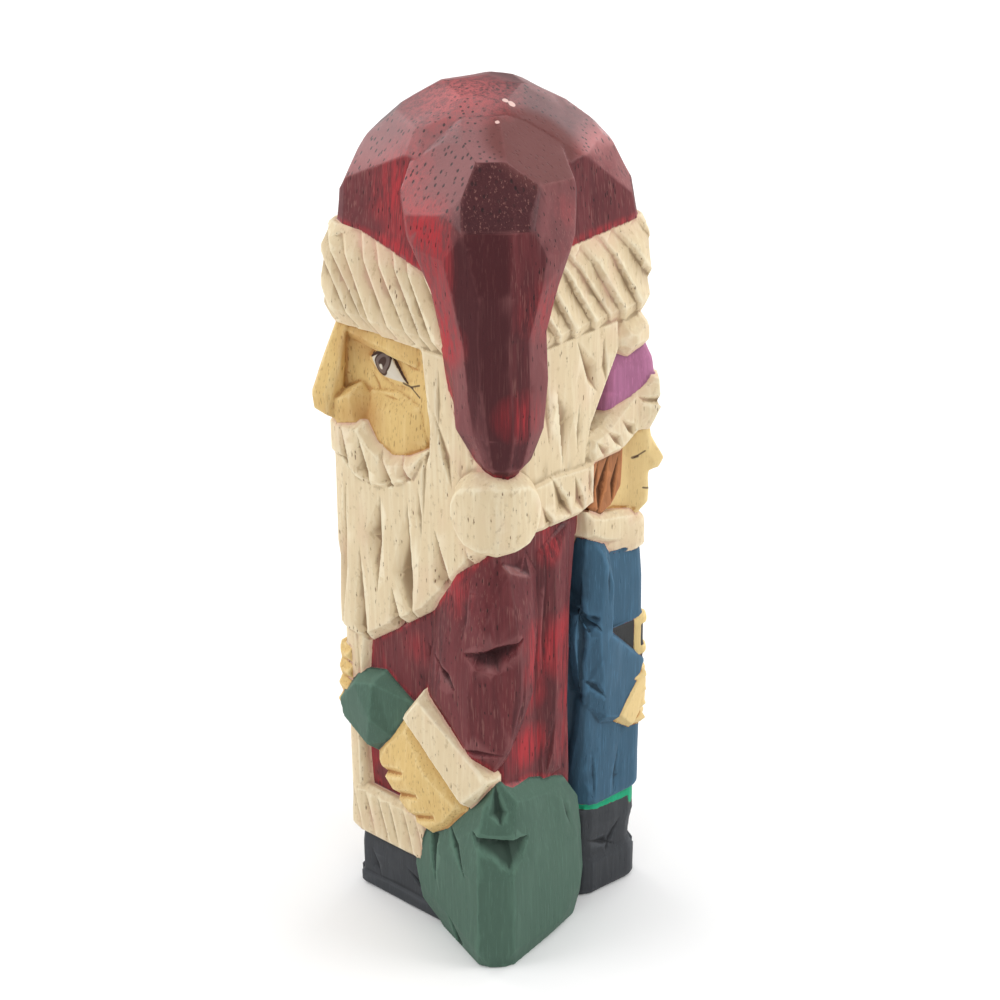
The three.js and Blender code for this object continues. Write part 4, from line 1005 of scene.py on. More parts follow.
def all_cuts():
    """The cuts of each form that has any."""
    brim = {"low": BRIM_LOW - 1, "high": BRIM_TOP, "deep": 1.5, "skew": -0.6}
    hem = row_of_strokes(FRONT, -24, 5, 20, 36, 4, 4, 0.9, 60, -0.5)
    trim = row_of_strokes(FRONT + 1, FRONT + 9, 3.6, 38, 88, 1.5, 2, 0.6, 11)
    return {
        "beard": both(BEARD_CUTS),
        "hair": both(HAIR_CUTS + BEARD_CUTS[7:10]),
        "moustache": both(MOUSTACHE_CUTS),
        "brim": [
            *row_of_strokes(FRONT - 7, -8, 6.2, seed=7, wide=5.6, lean=14.5, **brim),
            *row_of_strokes(10, BACK, 7.8, seed=40, wide=6.4, lean=18, **brim),
            *row_of_strokes(BACK, BACK + 2 * SIDE - 7, 7, seed=90, wide=6, lean=15, **brim),
        ],
        "collar": both(COLLAR_CUTS),
        "hem": both(hem),
        "trim": both(trim),
        "child band": both(BAND_CUTS),
        "child hair": both(CHILD_HAIR_CUTS),
        "sleeve": SLEEVE_CUTS,
        "coat": COAT_CUTS,
        "sack": SACK_CUTS,
        "hand": FIST_CUTS,
        "cheek": both(FACE_CUTS),
        "face": both(FACE_CUTS),
        "blue coat": both(BLUE_CUTS),
        "boots": both(BOOT_CUTS),
    }


def facets(points, wide, tall):
    """Heights of flat facets over a lattice of cells, from -1 to 1, as a knife leaves them."""
    swirl = np.sin(points[:, [1, 2, 0]] / (2.3 * wide) + np.array([0.3, 1.7, 4.1]))
    cell = points / np.array([wide, wide, tall]) + 0.35 * swirl + np.array([11.3, 7.7, 5.1])
    base = np.floor(cell)
    part = cell - base

    def level(corner):
        wave = np.sin(corner @ np.array([127.1, 311.7, 74.7])) * 43758.5453
        return (wave - np.floor(wave)) * 2 - 1

    order = np.argsort(-part, axis=1)
    ranked = np.take_along_axis(part, order, axis=1)
    corner = base.copy()
    found = level(corner) * (1 - ranked[:, 0])
    rows = np.arange(len(points))
    for step in range(3):
        corner[rows, order[:, step]] += 1
        following = ranked[:, step + 1] if step < 2 else 0
        found += level(corner) * (ranked[:, step] - following)
    return found


def tree_of(bodies):
    """A search tree over the faces of some bodies, and the number of faces of each."""
    points, faces, counts = [], [], []
    for body in bodies:
        first = len(points)
        points += [vertex.co.copy() for vertex in body.data.vertices]
        faces += [[first + i for i in face.vertices] for face in body.data.polygons]
        counts.append(len(body.data.polygons))
    return BVHTree.FromPolygons(points, faces), counts


def smoothed(values, pairs, turns):
    """Values of a mesh's vertices, averaged with those of their neighbours again and again."""
    count = len(values)
    degree = np.bincount(pairs.ravel(), minlength=count).clip(1)
    for _ in range(turns):
        total = np.empty_like(values)
        for axis in range(values.shape[1]):
            gathered = np.bincount(pairs[:, 0], values[pairs[:, 1], axis], count)
            gathered += np.bincount(pairs[:, 1], values[pairs[:, 0], axis], count)
            total[:, axis] = gathered / degree
        values = (values + total) / 2
    return values


def add_attribute(mesh, name, values):
    """Stores one number, or one vector, for each vertex."""
    vector = values.ndim == 2
    kind = "FLOAT_VECTOR" if vector else "FLOAT"
    layer = mesh.attributes.get(name) or mesh.attributes.new(name, kind, "POINT")
    layer.data.foreach_set("vector" if vector else "value", values.astype(np.float32).ravel())


def read_attribute(mesh, name, width):
    """Reads what add_attribute stored."""
    values = np.empty(len(mesh.vertices) * width, np.float32)
    key = "vector" if width == 3 else "value"
    mesh.attributes[name].data.foreach_get(key, values)
    return values.reshape(-1, 3).astype(float) if width == 3 else values.astype(float)


def carve(body, forms, depth):
    """Carves facets and strokes into a body's even skin, and notes how deep each place lies."""
    mesh = body.data
    points = read_points(mesh)
    normals = read_normals(mesh)
    tree, counts = tree_of(forms)
    owners = np.repeat(np.arange(len(forms)), counts)
    nearest = [tree.find_nearest(vertex.co)[2] for vertex in mesh.vertices]
    names = np.array([form["form"] for form in forms])
    kinds = names[owners[nearest]]
    around, _ = unwrap(points)
    height = points[:, 2]
    level = normals.copy()
    level[:, 2] *= 0.4
    sink = np.zeros(len(points))
    cut_deep = np.zeros(len(points))
    cuts = all_cuts()
    for name, (_, wide, tall, rise) in LOOKS.items():
        here = np.flatnonzero(kinds == name)
        if not len(here):
            continue
        sink[here] -= rise * facets(points[here] + len(name) * 7.0, wide, tall)
        deepest = np.zeros(len(here))
        for one in cuts.get(name, []):
            for turn in (0, 4 * SIDE, -4 * SIDE):
                deepest = np.maximum(deepest, one.depth(around[here] + turn, height[here]))
        sink[here] += deepest
        cut_deep[here] = deepest
    sink *= depth
    base = np.clip(height / 1.5, 0, 1)
    add_attribute(mesh, "rest", points)
    add_attribute(mesh, "cut", cut_deep)
    carved = points - level * (sink * base)[:, None]
    write_points(mesh, carved)
    pairs = np.empty(len(mesh.edges) * 2, np.int32)
    mesh.edges.foreach_get("vertices", pairs)
    pairs = pairs.reshape(-1, 2)
    normals = read_normals(mesh)
    fine = smoothed(carved, pairs, 8)
    broad = smoothed(fine, pairs, 40)
    add_attribute(mesh, "groove", np.einsum("ij,ij->i", fine - carved, normals))
    add_attribute(mesh, "hollow", np.einsum("ij,ij->i", broad - carved, normals))
    facing = smoothed(normals, pairs, 3)
    facing /= np.linalg.norm(facing, axis=1)[:, None]
    add_attribute(mesh, "lift", facing[:, 2])
    add_attribute(mesh, "side", np.abs(facing[:, 1]))
    turns = np.sin(7 * facing @ np.array([[0.8, -0.5, 0.4], [0.3, 0.9, -0.6], [-0.5, 0.2, 0.9]]).T + 1.3)
    add_attribute(mesh, "tone", turns[:, 0] * 0.5 + turns[:, 1] * turns[:, 2] * 0.5)


def mark_paints(body, forms):
    """Stores, for each paint, how far inside its edge a place lies, in millimetres, below 0 outside it."""
    mesh = body.data
    rest = read_attribute(mesh, "rest", 3) * MM
    places = [Vector(point) for point in rest]
    away = []
    for paint in PAINTS:
        tree, _ = tree_of([form for form in forms if LOOKS[form["form"]][0] == paint])
        away.append([tree.find_nearest(point)[3] / MM for point in places])
    away = np.array(away)
    for i, paint in enumerate(PAINTS):
        others = np.delete(away, i, axis=0).min(axis=0)
        add_attribute(mesh, paint, np.clip(others - away[i], -8, 8))


# Paint.


class Wire:
    """A number that runs through a material, on which Python's operators add Math nodes."""

    def __init__(self, shader, socket):
        self.shader = shader
        self.socket = socket

    def _math(self, operation, *values):
        return self.shader.node("ShaderNodeMath", {"operation": operation}, dict(enumerate(values))).wire("Value")

    def __add__(self, other):
        return self._math("ADD", self, other)

    __radd__ = __add__

    def __sub__(self, other):
        return self._math("SUBTRACT", self, other)

    def __rsub__(self, other):
        return self._math("SUBTRACT", other, self)

    def __mul__(self, other):
        return self._math("MULTIPLY", self, other)

    __rmul__ = __mul__

    def __truediv__(self, other):
        return self._math("DIVIDE", self, other)

    def __rtruediv__(self, other):
        return self._math("DIVIDE", other, self)

    def __pow__(self, other):
        return self._math("POWER", self, other)

    def __abs__(self):
        return self._math("ABSOLUTE", self)

    def least(self, other):
        return self._math("MINIMUM", self, other)

    def most(self, other):
        return self._math("MAXIMUM", self, other)

    def from_to(self, low, high):
        """0 at low and 1 at high, smooth between them, also where low is the greater."""
        settings = {"interpolation_type": "SMOOTHSTEP"}
        inputs = {"Value": self, "From Min": low, "From Max": high}
        if low > high:
            return 1 - self.from_to(high, low)
        return self.shader.node("ShaderNodeMapRange", settings, inputs).wire("Result")


class Made:
    """A node just added, whose outputs are wires."""

    def __init__(self, shader, node):
        self.shader = shader
        self.node = node

    def wire(self, name):
        return Wire(self.shader, self.node.outputs[name])


class Shader:
    """A material's nodes, made by one method."""

    def __init__(self, name):
        self.material = bpy.data.materials.new(name)
        self.material.use_nodes = True
        self.tree = self.material.node_tree
        self.tree.nodes.clear()

    def node(self, kind, settings=None, inputs=None):
        """Adds a node of a kind, with its settings, and the values or wires of its sockets."""
        made = self.tree.nodes.new(kind)
        for key, value in (settings or {}).items():
            setattr(made, key, value)
        for key, value in (inputs or {}).items():
            if isinstance(value, Wire):
                self.tree.links.new(value.socket, made.inputs[key])
            else:
                made.inputs[key].default_value = value
        return Made(self, made)

    def mix(self, first, second, share, blend="MIX"):
        """A colour between two, by a share from 0 to 1."""
        made = self.node("ShaderNodeMix", {"data_type": "RGBA", "blend_type": blend, "clamp_factor": True})
        sockets = made.node.inputs
        for socket, value in ((sockets[0], share), (sockets[6], first), (sockets[7], second)):
            if isinstance(value, Wire):
                self.tree.links.new(value.socket, socket)
            else:
                socket.default_value = value if socket == sockets[0] else (*value[:3], 1)
        return Wire(self, made.node.outputs[2])

    def attribute(self, name):
        """A number stored on the mesh."""
        return self.node("ShaderNodeAttribute", {"attribute_name": name}).wire("Fac")

    def place(self, scale, shift=(0, 0, 0)):
        """Where a point is on the object, in millimetres, stretched by a scale."""
        spot = self.node("ShaderNodeTexCoord").wire("Object")
        size = tuple(value / MM for value in scale)
        return self.node("ShaderNodeMapping", {}, {"Vector": spot, "Scale": size, "Location": shift}).wire("Vector")

    def noise(self, scale, shift=(0, 0, 0), detail=2.0, rough=0.5):
        """Cloudy noise, from 0 to 1."""
        inputs = {"Vector": self.place(scale, shift), "Scale": 1.0, "Detail": detail, "Roughness": rough}
        return self.node("ShaderNodeTexNoise", {}, inputs).wire("Fac")

    def cells(self, scale, shift=(0, 0, 0), plan="3D"):
        """Distance to the nearest of scattered points, or in plan to the nearest of scattered upright lines."""
        inputs = {"Vector": self.place(scale, shift), "Scale": 1.0}
        return self.node("ShaderNodeTexVoronoi", {"voronoi_dimensions": plan}, inputs).wire("Distance")


def shade(colour, light):
    """A colour made lighter or darker."""
    return tuple(min(1.0, value * light) for value in colour[:3])


def spot(s, x, y, z, place, size):
    """1 in the middle of a round spot and 0 at its edge, sizes in millimetres."""
    away = ((x - place[0]) ** 2 + (y - place[1]) ** 2 + (z - place[2]) ** 2) ** 0.5
    return (1 - away / size).most(0)


def eye_paint(s, colour, c, x, y, z, grain):
    """The man's eyes: white, iris, dark upper lid and the lines at the outer corner."""
    across = (abs(x) + y - HALF) / math.sqrt(2) + grain * 0.3
    front = y.from_to(-4, -6)
    turn = math.radians(-19)
    along = (across + 43.6) * math.cos(turn) + (z - 176.6) * math.sin(turn)
    up = (z - 176.6) * math.cos(turn) - (across + 43.6) * math.sin(turn)
    edge = 4 * (1 - (along.least(0) / 5.4) ** 2 - along.most(0) * 0.104).most(0) ** 1.2 - 0.05
    inside = edge - abs(up)
    white = inside.from_to(-0.1, 0.35) * front
    colour = s.mix(colour, c["eye_white"], white)
    iris = 1 - (((along + 0.6) / 2.8) ** 2 + ((up - 0.3) / 3.8) ** 2) ** 0.5
    colour = s.mix(colour, c["iris"], iris.from_to(-0.06, 0.06) * white)
    ring = (1 - abs(iris - 0.08) / 0.14).most(0) * white
    colour = s.mix(colour, c["lash"], ring.from_to(0, 0.6))
    pupil = 1 - (((along + 0.6) / 1.2) ** 2 + ((up - 0.8) / 1.7) ** 2) ** 0.5
    colour = s.mix(colour, c["lash"], pupil.from_to(-0.1, 0.2) * white)
    shine = 1 - (((along + 0.5) / 0.8) ** 2 + ((up + 0.5) / 0.95) ** 2) ** 0.5
    colour = s.mix(colour, c["eye_white"], shine.from_to(-0.1, 0.3) * white)
    lid = 1 - abs(up - edge - 0.1) / (0.27 + 0.6 * along.from_to(0.5, -4))
    lid = lid * along.from_to(-6.4, -5.4) * along.from_to(10, 9) * up.from_to(-1.4, -0.4)
    colour = s.mix(colour, c["lash"], lid.from_to(0, 0.4) * front)
    for start, end, wide in LASH_LINES:
        colour = s.mix(colour, c["lash"], line(across, z, start, end, wide) * front * 0.85)
    return colour


def line(across, up, start, end, wide):
    """1 on a thin painted line between two places and 0 off it."""
    way = (end[0] - start[0], end[1] - start[1])
    length = math.hypot(*way)
    way = (way[0] / length, way[1] / length)
    along = ((across - start[0]) * way[0] + (up - start[1]) * way[1]).most(0).least(length)
    off = ((across - start[0] - along * way[0]) ** 2 + (up - start[1] - along * way[1]) ** 2) ** 0.5
    return off.from_to(wide, wide * 0.4)


# Lines at the outer corner of the eye, on the side of the post, and their widths.
LASH_LINES = [
    ((-36, 173.4), (-32.6, 172.6), 0.42),
    ((-33.4, 172.8), (-30, 174.2), 0.36),
    ((-33, 172.6), (-29.6, 170.8), 0.34),
]

# The child's eye, its lash and the corner of its mouth, on its side of the post.
CHILD_LINES = [
    ((57.4, 143.2), (58.4, 143.5), 0.62), ((57.8, 143.2), (60.2, 145), 0.34), ((60, 133.4), (62, 132.8), 0.4),
]

# Chips in the glaze, with their sizes.
CHIPS = [((12.8, 6.6, 251), 1.5), ((12.4, 4.8, 251.4), 1.3), ((22.8, 2.2, 248.4), 1.1), ((43.6, 10.4, 99), 1.1)]


# Places where the glaze is thin and the red shows, with their sizes.
RED_PLACES = [
    ((8, -8, 254), 20), ((22, -24, 232), 16), ((31, 14, 226), 9), ((27, -27, 214), 12), ((22, -34, 226), 12), ((38, -15, 226), 9),
    ((40, 10, 205), 12), ((42, -12, 196), 9), ((46, 6, 176), 9), ((40, 0, 155), 9), ((34, -14, 132), 12),
    ((36, -14, 118), 10), ((32, 16, 96), 12), ((30, 18, 128), 8), ((24, 26, 62), 12), ((34, 6, 66), 10),
    ((24, -26, 92), 9), ((18, 30, 112), 9), ((37, 8, 104), 7), ((37, 10, 94), 7), ((34, 11, 82), 7), ((33, 11, 66), 8),
    ((23, 21, 100), 8), ((23, 21, 88), 8), ((22, 22, 76), 7), ((38, -22, 206), 8), ((38, -20, 190), 8), ((-24, 20, 150), 14), ((-30, -20, 100), 16), ((-20, 20, 236), 16),
]


def figurine_paint(colours):
    """All the paints of the figurine in one material, each inside its own edge."""
    s = Shader("painted carving")
    c = {name: tuple(getattr(colours, name)) for name in FigurineColours.__annotations__}
    groove = s.attribute("groove")
    hollow = s.attribute("hollow")
    lift = s.attribute("lift")
    tone = s.attribute("tone")
    place = s.node("ShaderNodeSeparateXYZ", {}, {"Vector": s.place((1, 1, 1))})
    x, y, z = (place.wire(axis) for axis in "XYZ")
    streak = s.noise((0.75, 0.75, 0.05), detail=3)
    hair_streak = s.noise((2.4, 2.4, 0.1), (3, 1, 7), detail=2)
    blotch = s.noise((0.08, 0.08, 0.045), (5, 2, 9), detail=3)
    right = (HALF + y - abs(x)) / math.sqrt(2)
    speck = s.noise((0.6, 0.6, 0.4), (8, 4, 1), detail=4, rough=0.65)
    many = blotch.from_to(0.38, 0.55)
    steep = lift.from_to(0.5, 0.3)
    wide_pore = s.cells((0.46, 0.46, 0.46), (4, 4, 2), "2D").from_to(0.2, 0.12) * speck.from_to(0.38, 0.48) * (0.25 + 0.75 * many)
    thin_pore = s.cells((0.9, 0.9, 0.2), (1, 7, 5)).from_to(0.22, 0.12) * speck.from_to(0.42, 0.52) * (0.3 + steep)
    wide_pore = wide_pore * (1 - steep)
    cut = s.attribute("cut")
    bite = cut.from_to(0.5, 2.2)
    crease = (groove.from_to(0.02, 0.16) + hollow.from_to(0.25, 1.2) * 0.7).least(1)
    ridge = groove.from_to(-0.03, -0.14)
    upward = lift.from_to(0.2, 0.8)

    def layer(base, paint, colour):
        edge = s.attribute(paint) + (speck - 0.5) * 0.4
        return s.mix(base, colour, edge.from_to(-0.1, 0.1))

    inside = s.attribute("maroon")
    rim = inside.from_to(2.2, 0.2)
    on_tail = x.from_to(28, 33) * z.from_to(152, 158)
    red = rim * 0.6 + hollow.from_to(0.2, 1.0) * 0.35 + on_tail * y.from_to(-9, -13) * z.from_to(238, 222) * 0.6
    for at, size in RED_PLACES:
        red = red + spot(s, x, y, z, at, size)
    red = (red * (0.05 + streak.from_to(0.38, 0.6) * 0.65 + hair_streak.from_to(0.4, 0.6) * 0.5)).least(1)
    side = s.attribute("side")
    # Painted reflection: the tail's facets that face sideways are painted paler, as if the side lights shone off them.
    bevel = side.from_to(0.5, 0.8) * on_tail
    # Painted shade: the tail's middle strip, which faces forwards, is painted darker below, standing in for the dark
    # reflection of the room in front.
    front = x.from_to(43.5, 48) * z.from_to(150, 156) * y.from_to(-12, -10) * y.from_to(5, 3) * (1 - bevel)
    smooth = spot(s, x, y, z, (26, 14, 243), 19).from_to(0, 0.3)
    # Painted reflection: a place on the crown's side that is painted paler, as if the lights shone off the glaze there.
    sheen_spot = spot(s, x, y, z, (12, 38, 232), 20).from_to(0, 0.5)
    knuckle = spot(s, x, y, z, (41.5, -2, 235), 19).from_to(0, 0.15) * lift.from_to(0.82, 0.74) * lift.from_to(0.3, 0.4)
    knuckle = knuckle * side.from_to(0.42, 0.32)
    fresh = ((tone + 1) * 0.4 + streak.from_to(0.35, 0.65) * 0.4).least(1) * (1 - 0.8 * front)
    maroon = s.mix(c["dark_maroon"], c["maroon"], fresh)
    maroon = s.mix(maroon, c["brushed"], hair_streak.from_to(0.56, 0.68) * (0.15 + 0.3 * many) * (1 - 0.6 * front))
    # Painted reflection: paler maroon on facets that face up and on the tail's side facets, standing in for the sheen
    # of the lights.
    maroon = s.mix(maroon, c["dusty_maroon"], (upward * (0.5 + 0.5 * tone) * (1 - knuckle) + bevel * 0.45).least(1))
    # Dark maroon on the knuckle, on facets at random, and on the tail's front strip, where it is painted shade.
    maroon = s.mix(maroon, c["dark_maroon"], (knuckle * 0.9 + tone.from_to(-0.1, -0.7) * 0.6 + front * 0.4).least(1))
    maroon = s.mix(maroon, (0.15, 0.042, 0.038), smooth * upward * 0.9)
    # Painted highlight: paler red on facets that face up, on both sides of the crown and where the red shows.
    maroon = s.mix(maroon, c["dusty_red"], (sheen_spot * 0.75 + spot(s, x, y, z, (10, -38, 226), 20) * 0.6).least(1) * upward)
    maroon = s.mix(maroon, c["red"], red * 0.85 * (1 - knuckle))
    maroon = s.mix(maroon, c["dusty_red"], red * upward * 0.55 * (1 - knuckle))
    scratch = s.noise((0.9, 1.6, 0.9), (2, 6, 3), detail=3, rough=0.7)
    maroon = s.mix(maroon, c["brushed"], knuckle * scratch.from_to(0.56, 0.7) * 0.8)
    # Painted shade: darker maroon in creases, and darker still in the knife cuts.
    maroon = s.mix(maroon, shade(c["dark_maroon"], 0.7), crease * 0.55)
    maroon = s.mix(maroon, shade(c["dark_maroon"], 0.55), bite * 0.85)
    # Paler maroon on the ridges, where the glaze is worn.
    maroon = s.mix(maroon, c["dusty_maroon"], ridge * 0.45)
    top = z.from_to(206, 214)
    maroon_pore = (wide_pore * (1 - 0.8 * smooth) * top + thin_pore * (0.7 + 0.3 * top)).least(1) * (1 - front)
    maroon = s.mix(maroon, (0.012, 0.004, 0.005), maroon_pore * 0.85)
    for at, size in CHIPS:
        chip = spot(s, x, y, z, at, size) + (speck - 0.5) * 0.5
        maroon = s.mix(maroon, c["chipped"], chip.from_to(0.2, 0.36))

    cream = s.mix(c["cream"], c["pale_cream"], (ridge * 0.7 + streak.from_to(0.45, 0.7) * 0.45).least(1))
    # Tan in the cuts and hollows and a darker tan in the creases: partly the wash that lies in them, partly painted
    # shade.
    cream = s.mix(cream, c["tan_wash"], (cut.from_to(0.1, 1.6) * 0.52 + hollow.from_to(0.05, 0.6) * 0.3).least(1))
    cream = s.mix(cream, shade(c["tan_wash"], 0.62), crease * (0.45 + 0.45 * bite))
    pink = (blotch.from_to(0.48, 0.68) * 0.3 + s.attribute("cream").from_to(2.2, 0.3) * 0.35) * (0.6 + crease)
    cream = s.mix(cream, c["pink_wash"], pink.least(0.7))
    cream = s.mix(cream, c["tan_wash"], speck.from_to(0.55, 0.72) * 0.4)
    few = speck.from_to(0.52, 0.6)
    cream = s.mix(cream, (0.16, 0.08, 0.04), thin_pore * (0.12 + 0.7 * few) * 0.9)

    skin = s.mix(c["skin"], c["pale_skin"], (ridge * 0.6 + streak.from_to(0.5, 0.7) * 0.35).least(1))
    # Darker skin in creases and cuts, partly wash and partly painted shade, and in random blotches.
    skin = s.mix(skin, c["skin_wash"], (crease * 0.8 + bite * 0.4 + blotch.from_to(0.5, 0.7) * 0.25).least(1))
    skin = s.mix(skin, c["skin_wash"], hair_streak.from_to(0.54, 0.64) * speck.from_to(0.4, 0.6) * 0.4)
    dashes = s.cells((1.3, 1.3, 0.34), (6, 2, 9)).from_to(0.24, 0.14)
    skin = s.mix(skin, (0.22, 0.1, 0.03), (thin_pore * 0.5 + dashes * 0.6).least(1) * 0.7)
    # Painted shade beside the wings of the nose and in the inner corners of the eye sockets.
    painted_nose_shade = spot(s, abs(x), y, z, (9.4, -35.4, 161), 9) + spot(s, abs(x), y, z, (7, -38, 181), 8)
    skin = s.mix(skin, c["skin_wash"], painted_nose_shade.least(1) * 0.9)
    skin = s.mix(skin, c["pale_skin"], y.from_to(4, 6) * (1 - crease) * 0.6)
    skin = eye_paint(s, skin, c, x, y, z, speck - 0.5)
    for start, end, wide in CHILD_LINES:
        mark = line(right, z, start, end, wide)
        skin = s.mix(skin, c["lash"], mark * y.from_to(4, 6) * 0.8)

    # A paint with its streaks, and lit and shaded copies of it: painted highlight and painted shade.
    def simple(name, dark, light, dry=0.4):
        colour = s.mix(c[name], shade(c[name], light), ((tone + 1) * 0.25 + streak.from_to(0.45, 0.7) * 0.5).least(1))
        colour = s.mix(colour, shade(c[name], light * 1.35), hair_streak.from_to(0.56, 0.7) * dry)
        # Painted highlight: paler on facets that face up, and on ridges, which are partly worn.
        colour = s.mix(colour, shade(c[name], light * 1.4), (ridge * 0.6 + upward * 0.35).least(1))
        # Painted shade: darker in creases and in the cuts.
        return s.mix(colour, shade(c[name], dark), (crease * 0.85 + cut.from_to(0.3, 1.4)).least(1) * 0.9)

    colour = maroon
    colour = layer(colour, "cream", cream)
    colour = layer(colour, "skin", skin)
    colour = layer(colour, "green", simple("green", 0.45, 1.25))
    colour = layer(colour, "charcoal", simple("charcoal", 0.5, 1.3))
    blue = simple("blue", 0.4, 1.3, 0.6)
    # Painted shade: darker strips of the blue coat in the recess by the red coat.
    blue_shade_strip = right.from_to(39.4, 38.4) * (z.from_to(103, 106) + z.from_to(74, 72)).least(1)
    blue = s.mix(blue, shade(c["blue"], 0.5), (blue_shade_strip + right.from_to(35.2, 34.4)).least(1) * 0.5)
    colour = layer(colour, "blue", blue)
    colour = layer(colour, "bright green", simple("bright_green", 0.6, 1.2))
    colour = layer(colour, "purple", simple("purple", 0.6, 1.3))
    colour = layer(colour, "brown", simple("brown", 0.4, 1.4))
    colour = layer(colour, "black", simple("black", 0.6, 1.3))
    colour = layer(colour, "gold", simple("gold", 0.5, 1.1))

    glossy = inside.from_to(-0.1, 0.1)
    pores = (wide_pore * glossy * (1 - front) + thin_pore * 0.7).least(1)
    bump_height = streak * 0.2 + hair_streak * 0.3 - pores * 0.9 + speck * 0.25 + knuckle * glossy * scratch * 3
    bump = s.node("ShaderNodeBump", {}, {"Height": bump_height, "Strength": 0.55, "Distance": 0.0003}).wire("Normal")
    coat = glossy * lift.from_to(0.2, 0.75) * (1 - 0.9 * knuckle.most(smooth).most(bite)) * 0.66 + 0.06
    inputs = {
        "Base Color": colour, "Roughness": 0.55 + 0.2 * speck, "Normal": bump, "Specular IOR Level": 0.2,
        "Coat Weight": coat, "Coat Roughness": 0.32,
    }
    paint = s.node("ShaderNodeBsdfPrincipled", {}, inputs).wire("BSDF")
    s.node("ShaderNodeOutputMaterial", {}, {"Surface": paint})
    return s.material


# Settings.


def colour_setting(name, description, default):
    return FloatVectorProperty(name=name, description=description, subtype="COLOR", size=3, min=0, max=1, default=default)


class FigurineSizes(bpy.types.PropertyGroup):
    """Sizes of the carving."""

    skin: FloatProperty(
        name="Skin", description="Width of one face of the even skin that is carved", default=0.00048, min=0.0003,
        unit="LENGTH", precision=5,
    )
    faces: IntProperty(name="Triangles", description="Most triangles of the finished piece", default=190000, min=5000)
    depth: FloatProperty(name="Depth", description="How deep facets and strokes are, against the usual", default=1.0)


class FigurineColours(bpy.types.PropertyGroup):
    """Paints of the figurine."""

    maroon: colour_setting("Maroon", "Glaze of the coat and cap", (0.15, 0.03, 0.034))
    # Also used for the painted shade in creases, cuts and the tail's front strip.
    dark_maroon: colour_setting("Dark maroon", "Thick glaze", (0.062, 0.012, 0.015))
    # Painted reflection on facets that face up, and the colour of worn ridges.
    dusty_maroon: colour_setting("Maroon sheen and wear", "Glaze on facets that face up", (0.285, 0.105, 0.105))
    brushed: colour_setting("Brushed", "Dry brush strokes on the glaze", (0.3, 0.13, 0.11))
    red: colour_setting("Red", "Red where the glaze is thin", (0.44, 0.026, 0.034))
    # Painted highlight on facets that face up.
    dusty_red: colour_setting("Red sheen", "Red on facets that face up", (0.55, 0.15, 0.15))
    chipped: colour_setting("Chipped", "Bare casting in chips of the glaze", (0.75, 0.5, 0.45))
    cream: colour_setting("Cream", "Fur and hair", (0.71, 0.575, 0.37))
    pale_cream: colour_setting("Pale cream", "Ridges of the fur", (0.82, 0.72, 0.52))
    tan_wash: colour_setting("Tan wash", "Wash in the grooves of the fur", (0.36, 0.235, 0.12))
    pink_wash: colour_setting("Pink wash", "Pink left in the fur", (0.72, 0.44, 0.33))
    skin: colour_setting("Skin", "Faces and hands", (0.69, 0.48, 0.19))
    pale_skin: colour_setting("Pale skin", "Ridges of the skin", (0.8, 0.62, 0.31))
    # Wash of the skin, also used for painted shade in creases and beside the nose.
    skin_wash: colour_setting("Skin wash and shade", "Wash in the creases of the skin", (0.46, 0.23, 0.07))
    eye_white: colour_setting("Eye white", "White of the eyes", (0.66, 0.6, 0.5))
    iris: colour_setting("Iris", "Iris of the eyes", (0.16, 0.115, 0.1))
    lash: colour_setting("Lash", "Dark lines round the eyes", (0.06, 0.03, 0.022))
    green: colour_setting("Green", "Sack", (0.06, 0.112, 0.082))
    charcoal: colour_setting("Charcoal", "Boots", (0.04, 0.043, 0.048))
    blue: colour_setting("Blue", "The child's coat", (0.04, 0.098, 0.155))
    bright_green: colour_setting("Bright green", "The child's trousers", (0.01, 0.32, 0.16))
    purple: colour_setting("Purple", "The child's cap", (0.34, 0.125, 0.225))
    brown: colour_setting("Brown", "The child's hair", (0.29, 0.115, 0.045))
    black: colour_setting("Black", "Belt", (0.03, 0.03, 0.03))
    gold: colour_setting("Gold", "Buckle", (0.6, 0.45, 0.2))


class FigurineStage(bpy.types.PropertyGroup):
    """Camera, floor and lights."""

    azimuth: FloatProperty(name="Azimuth", description="How far the camera stands round the left", default=87.4)
    elevation: FloatProperty(name="Elevation", description="How far the camera looks down", default=25.0)
    roll: FloatProperty(name="Roll", description="How far the picture is turned", default=0.5)
    distance: FloatProperty(name="Distance", description="From the camera to its target", default=0.683, unit="LENGTH")
    lens: FloatProperty(name="Lens", description="Focal length in millimetres", default=84.42)
    floor: colour_setting("Floor", "Colour of the floor", (0.9, 0.9, 0.9))


# Operators.


class ShapeOperator(bpy.types.Operator):
    """What the operators that model forms share."""

    make = ()
    bl_options = {"REGISTER", "UNDO"}

    def execute(self, context):
        for step in self.make:
            step()
        return {"FINISHED"}


class FIGURINE_OT_coat(ShapeOperator):
    """Model the man's coat, its trim and hem, and his boots"""

    bl_idname = "figurine.coat"
    bl_label = "Coat and Boots"
    make = (make_coat,)


class FIGURINE_OT_head(ShapeOperator):
    """Model the man's face, beard, hair and collar"""

    bl_idname = "figurine.head"
    bl_label = "Head and Beard"
    make = (make_head,)


class FIGURINE_OT_cap(ShapeOperator):
    """Model the man's cap with its fur band, tail and pompom"""

    bl_idname = "figurine.cap"
    bl_label = "Cap"
    make = (make_cap,)


class FIGURINE_OT_arms(ShapeOperator):
    """Model the man's sleeves, cuffs and hands"""

    bl_idname = "figurine.arms"
    bl_label = "Arms"
    make = (make_arms,)


class FIGURINE_OT_sack(ShapeOperator):
    """Model the sack and its gathered neck"""

    bl_idname = "figurine.sack"
    bl_label = "Sack"
    make = (make_sack,)


class FIGURINE_OT_child(ShapeOperator):
    """Model the child behind the man"""

    bl_idname = "figurine.child"
    bl_label = "Child"
    make = (make_child_body, make_child_head)


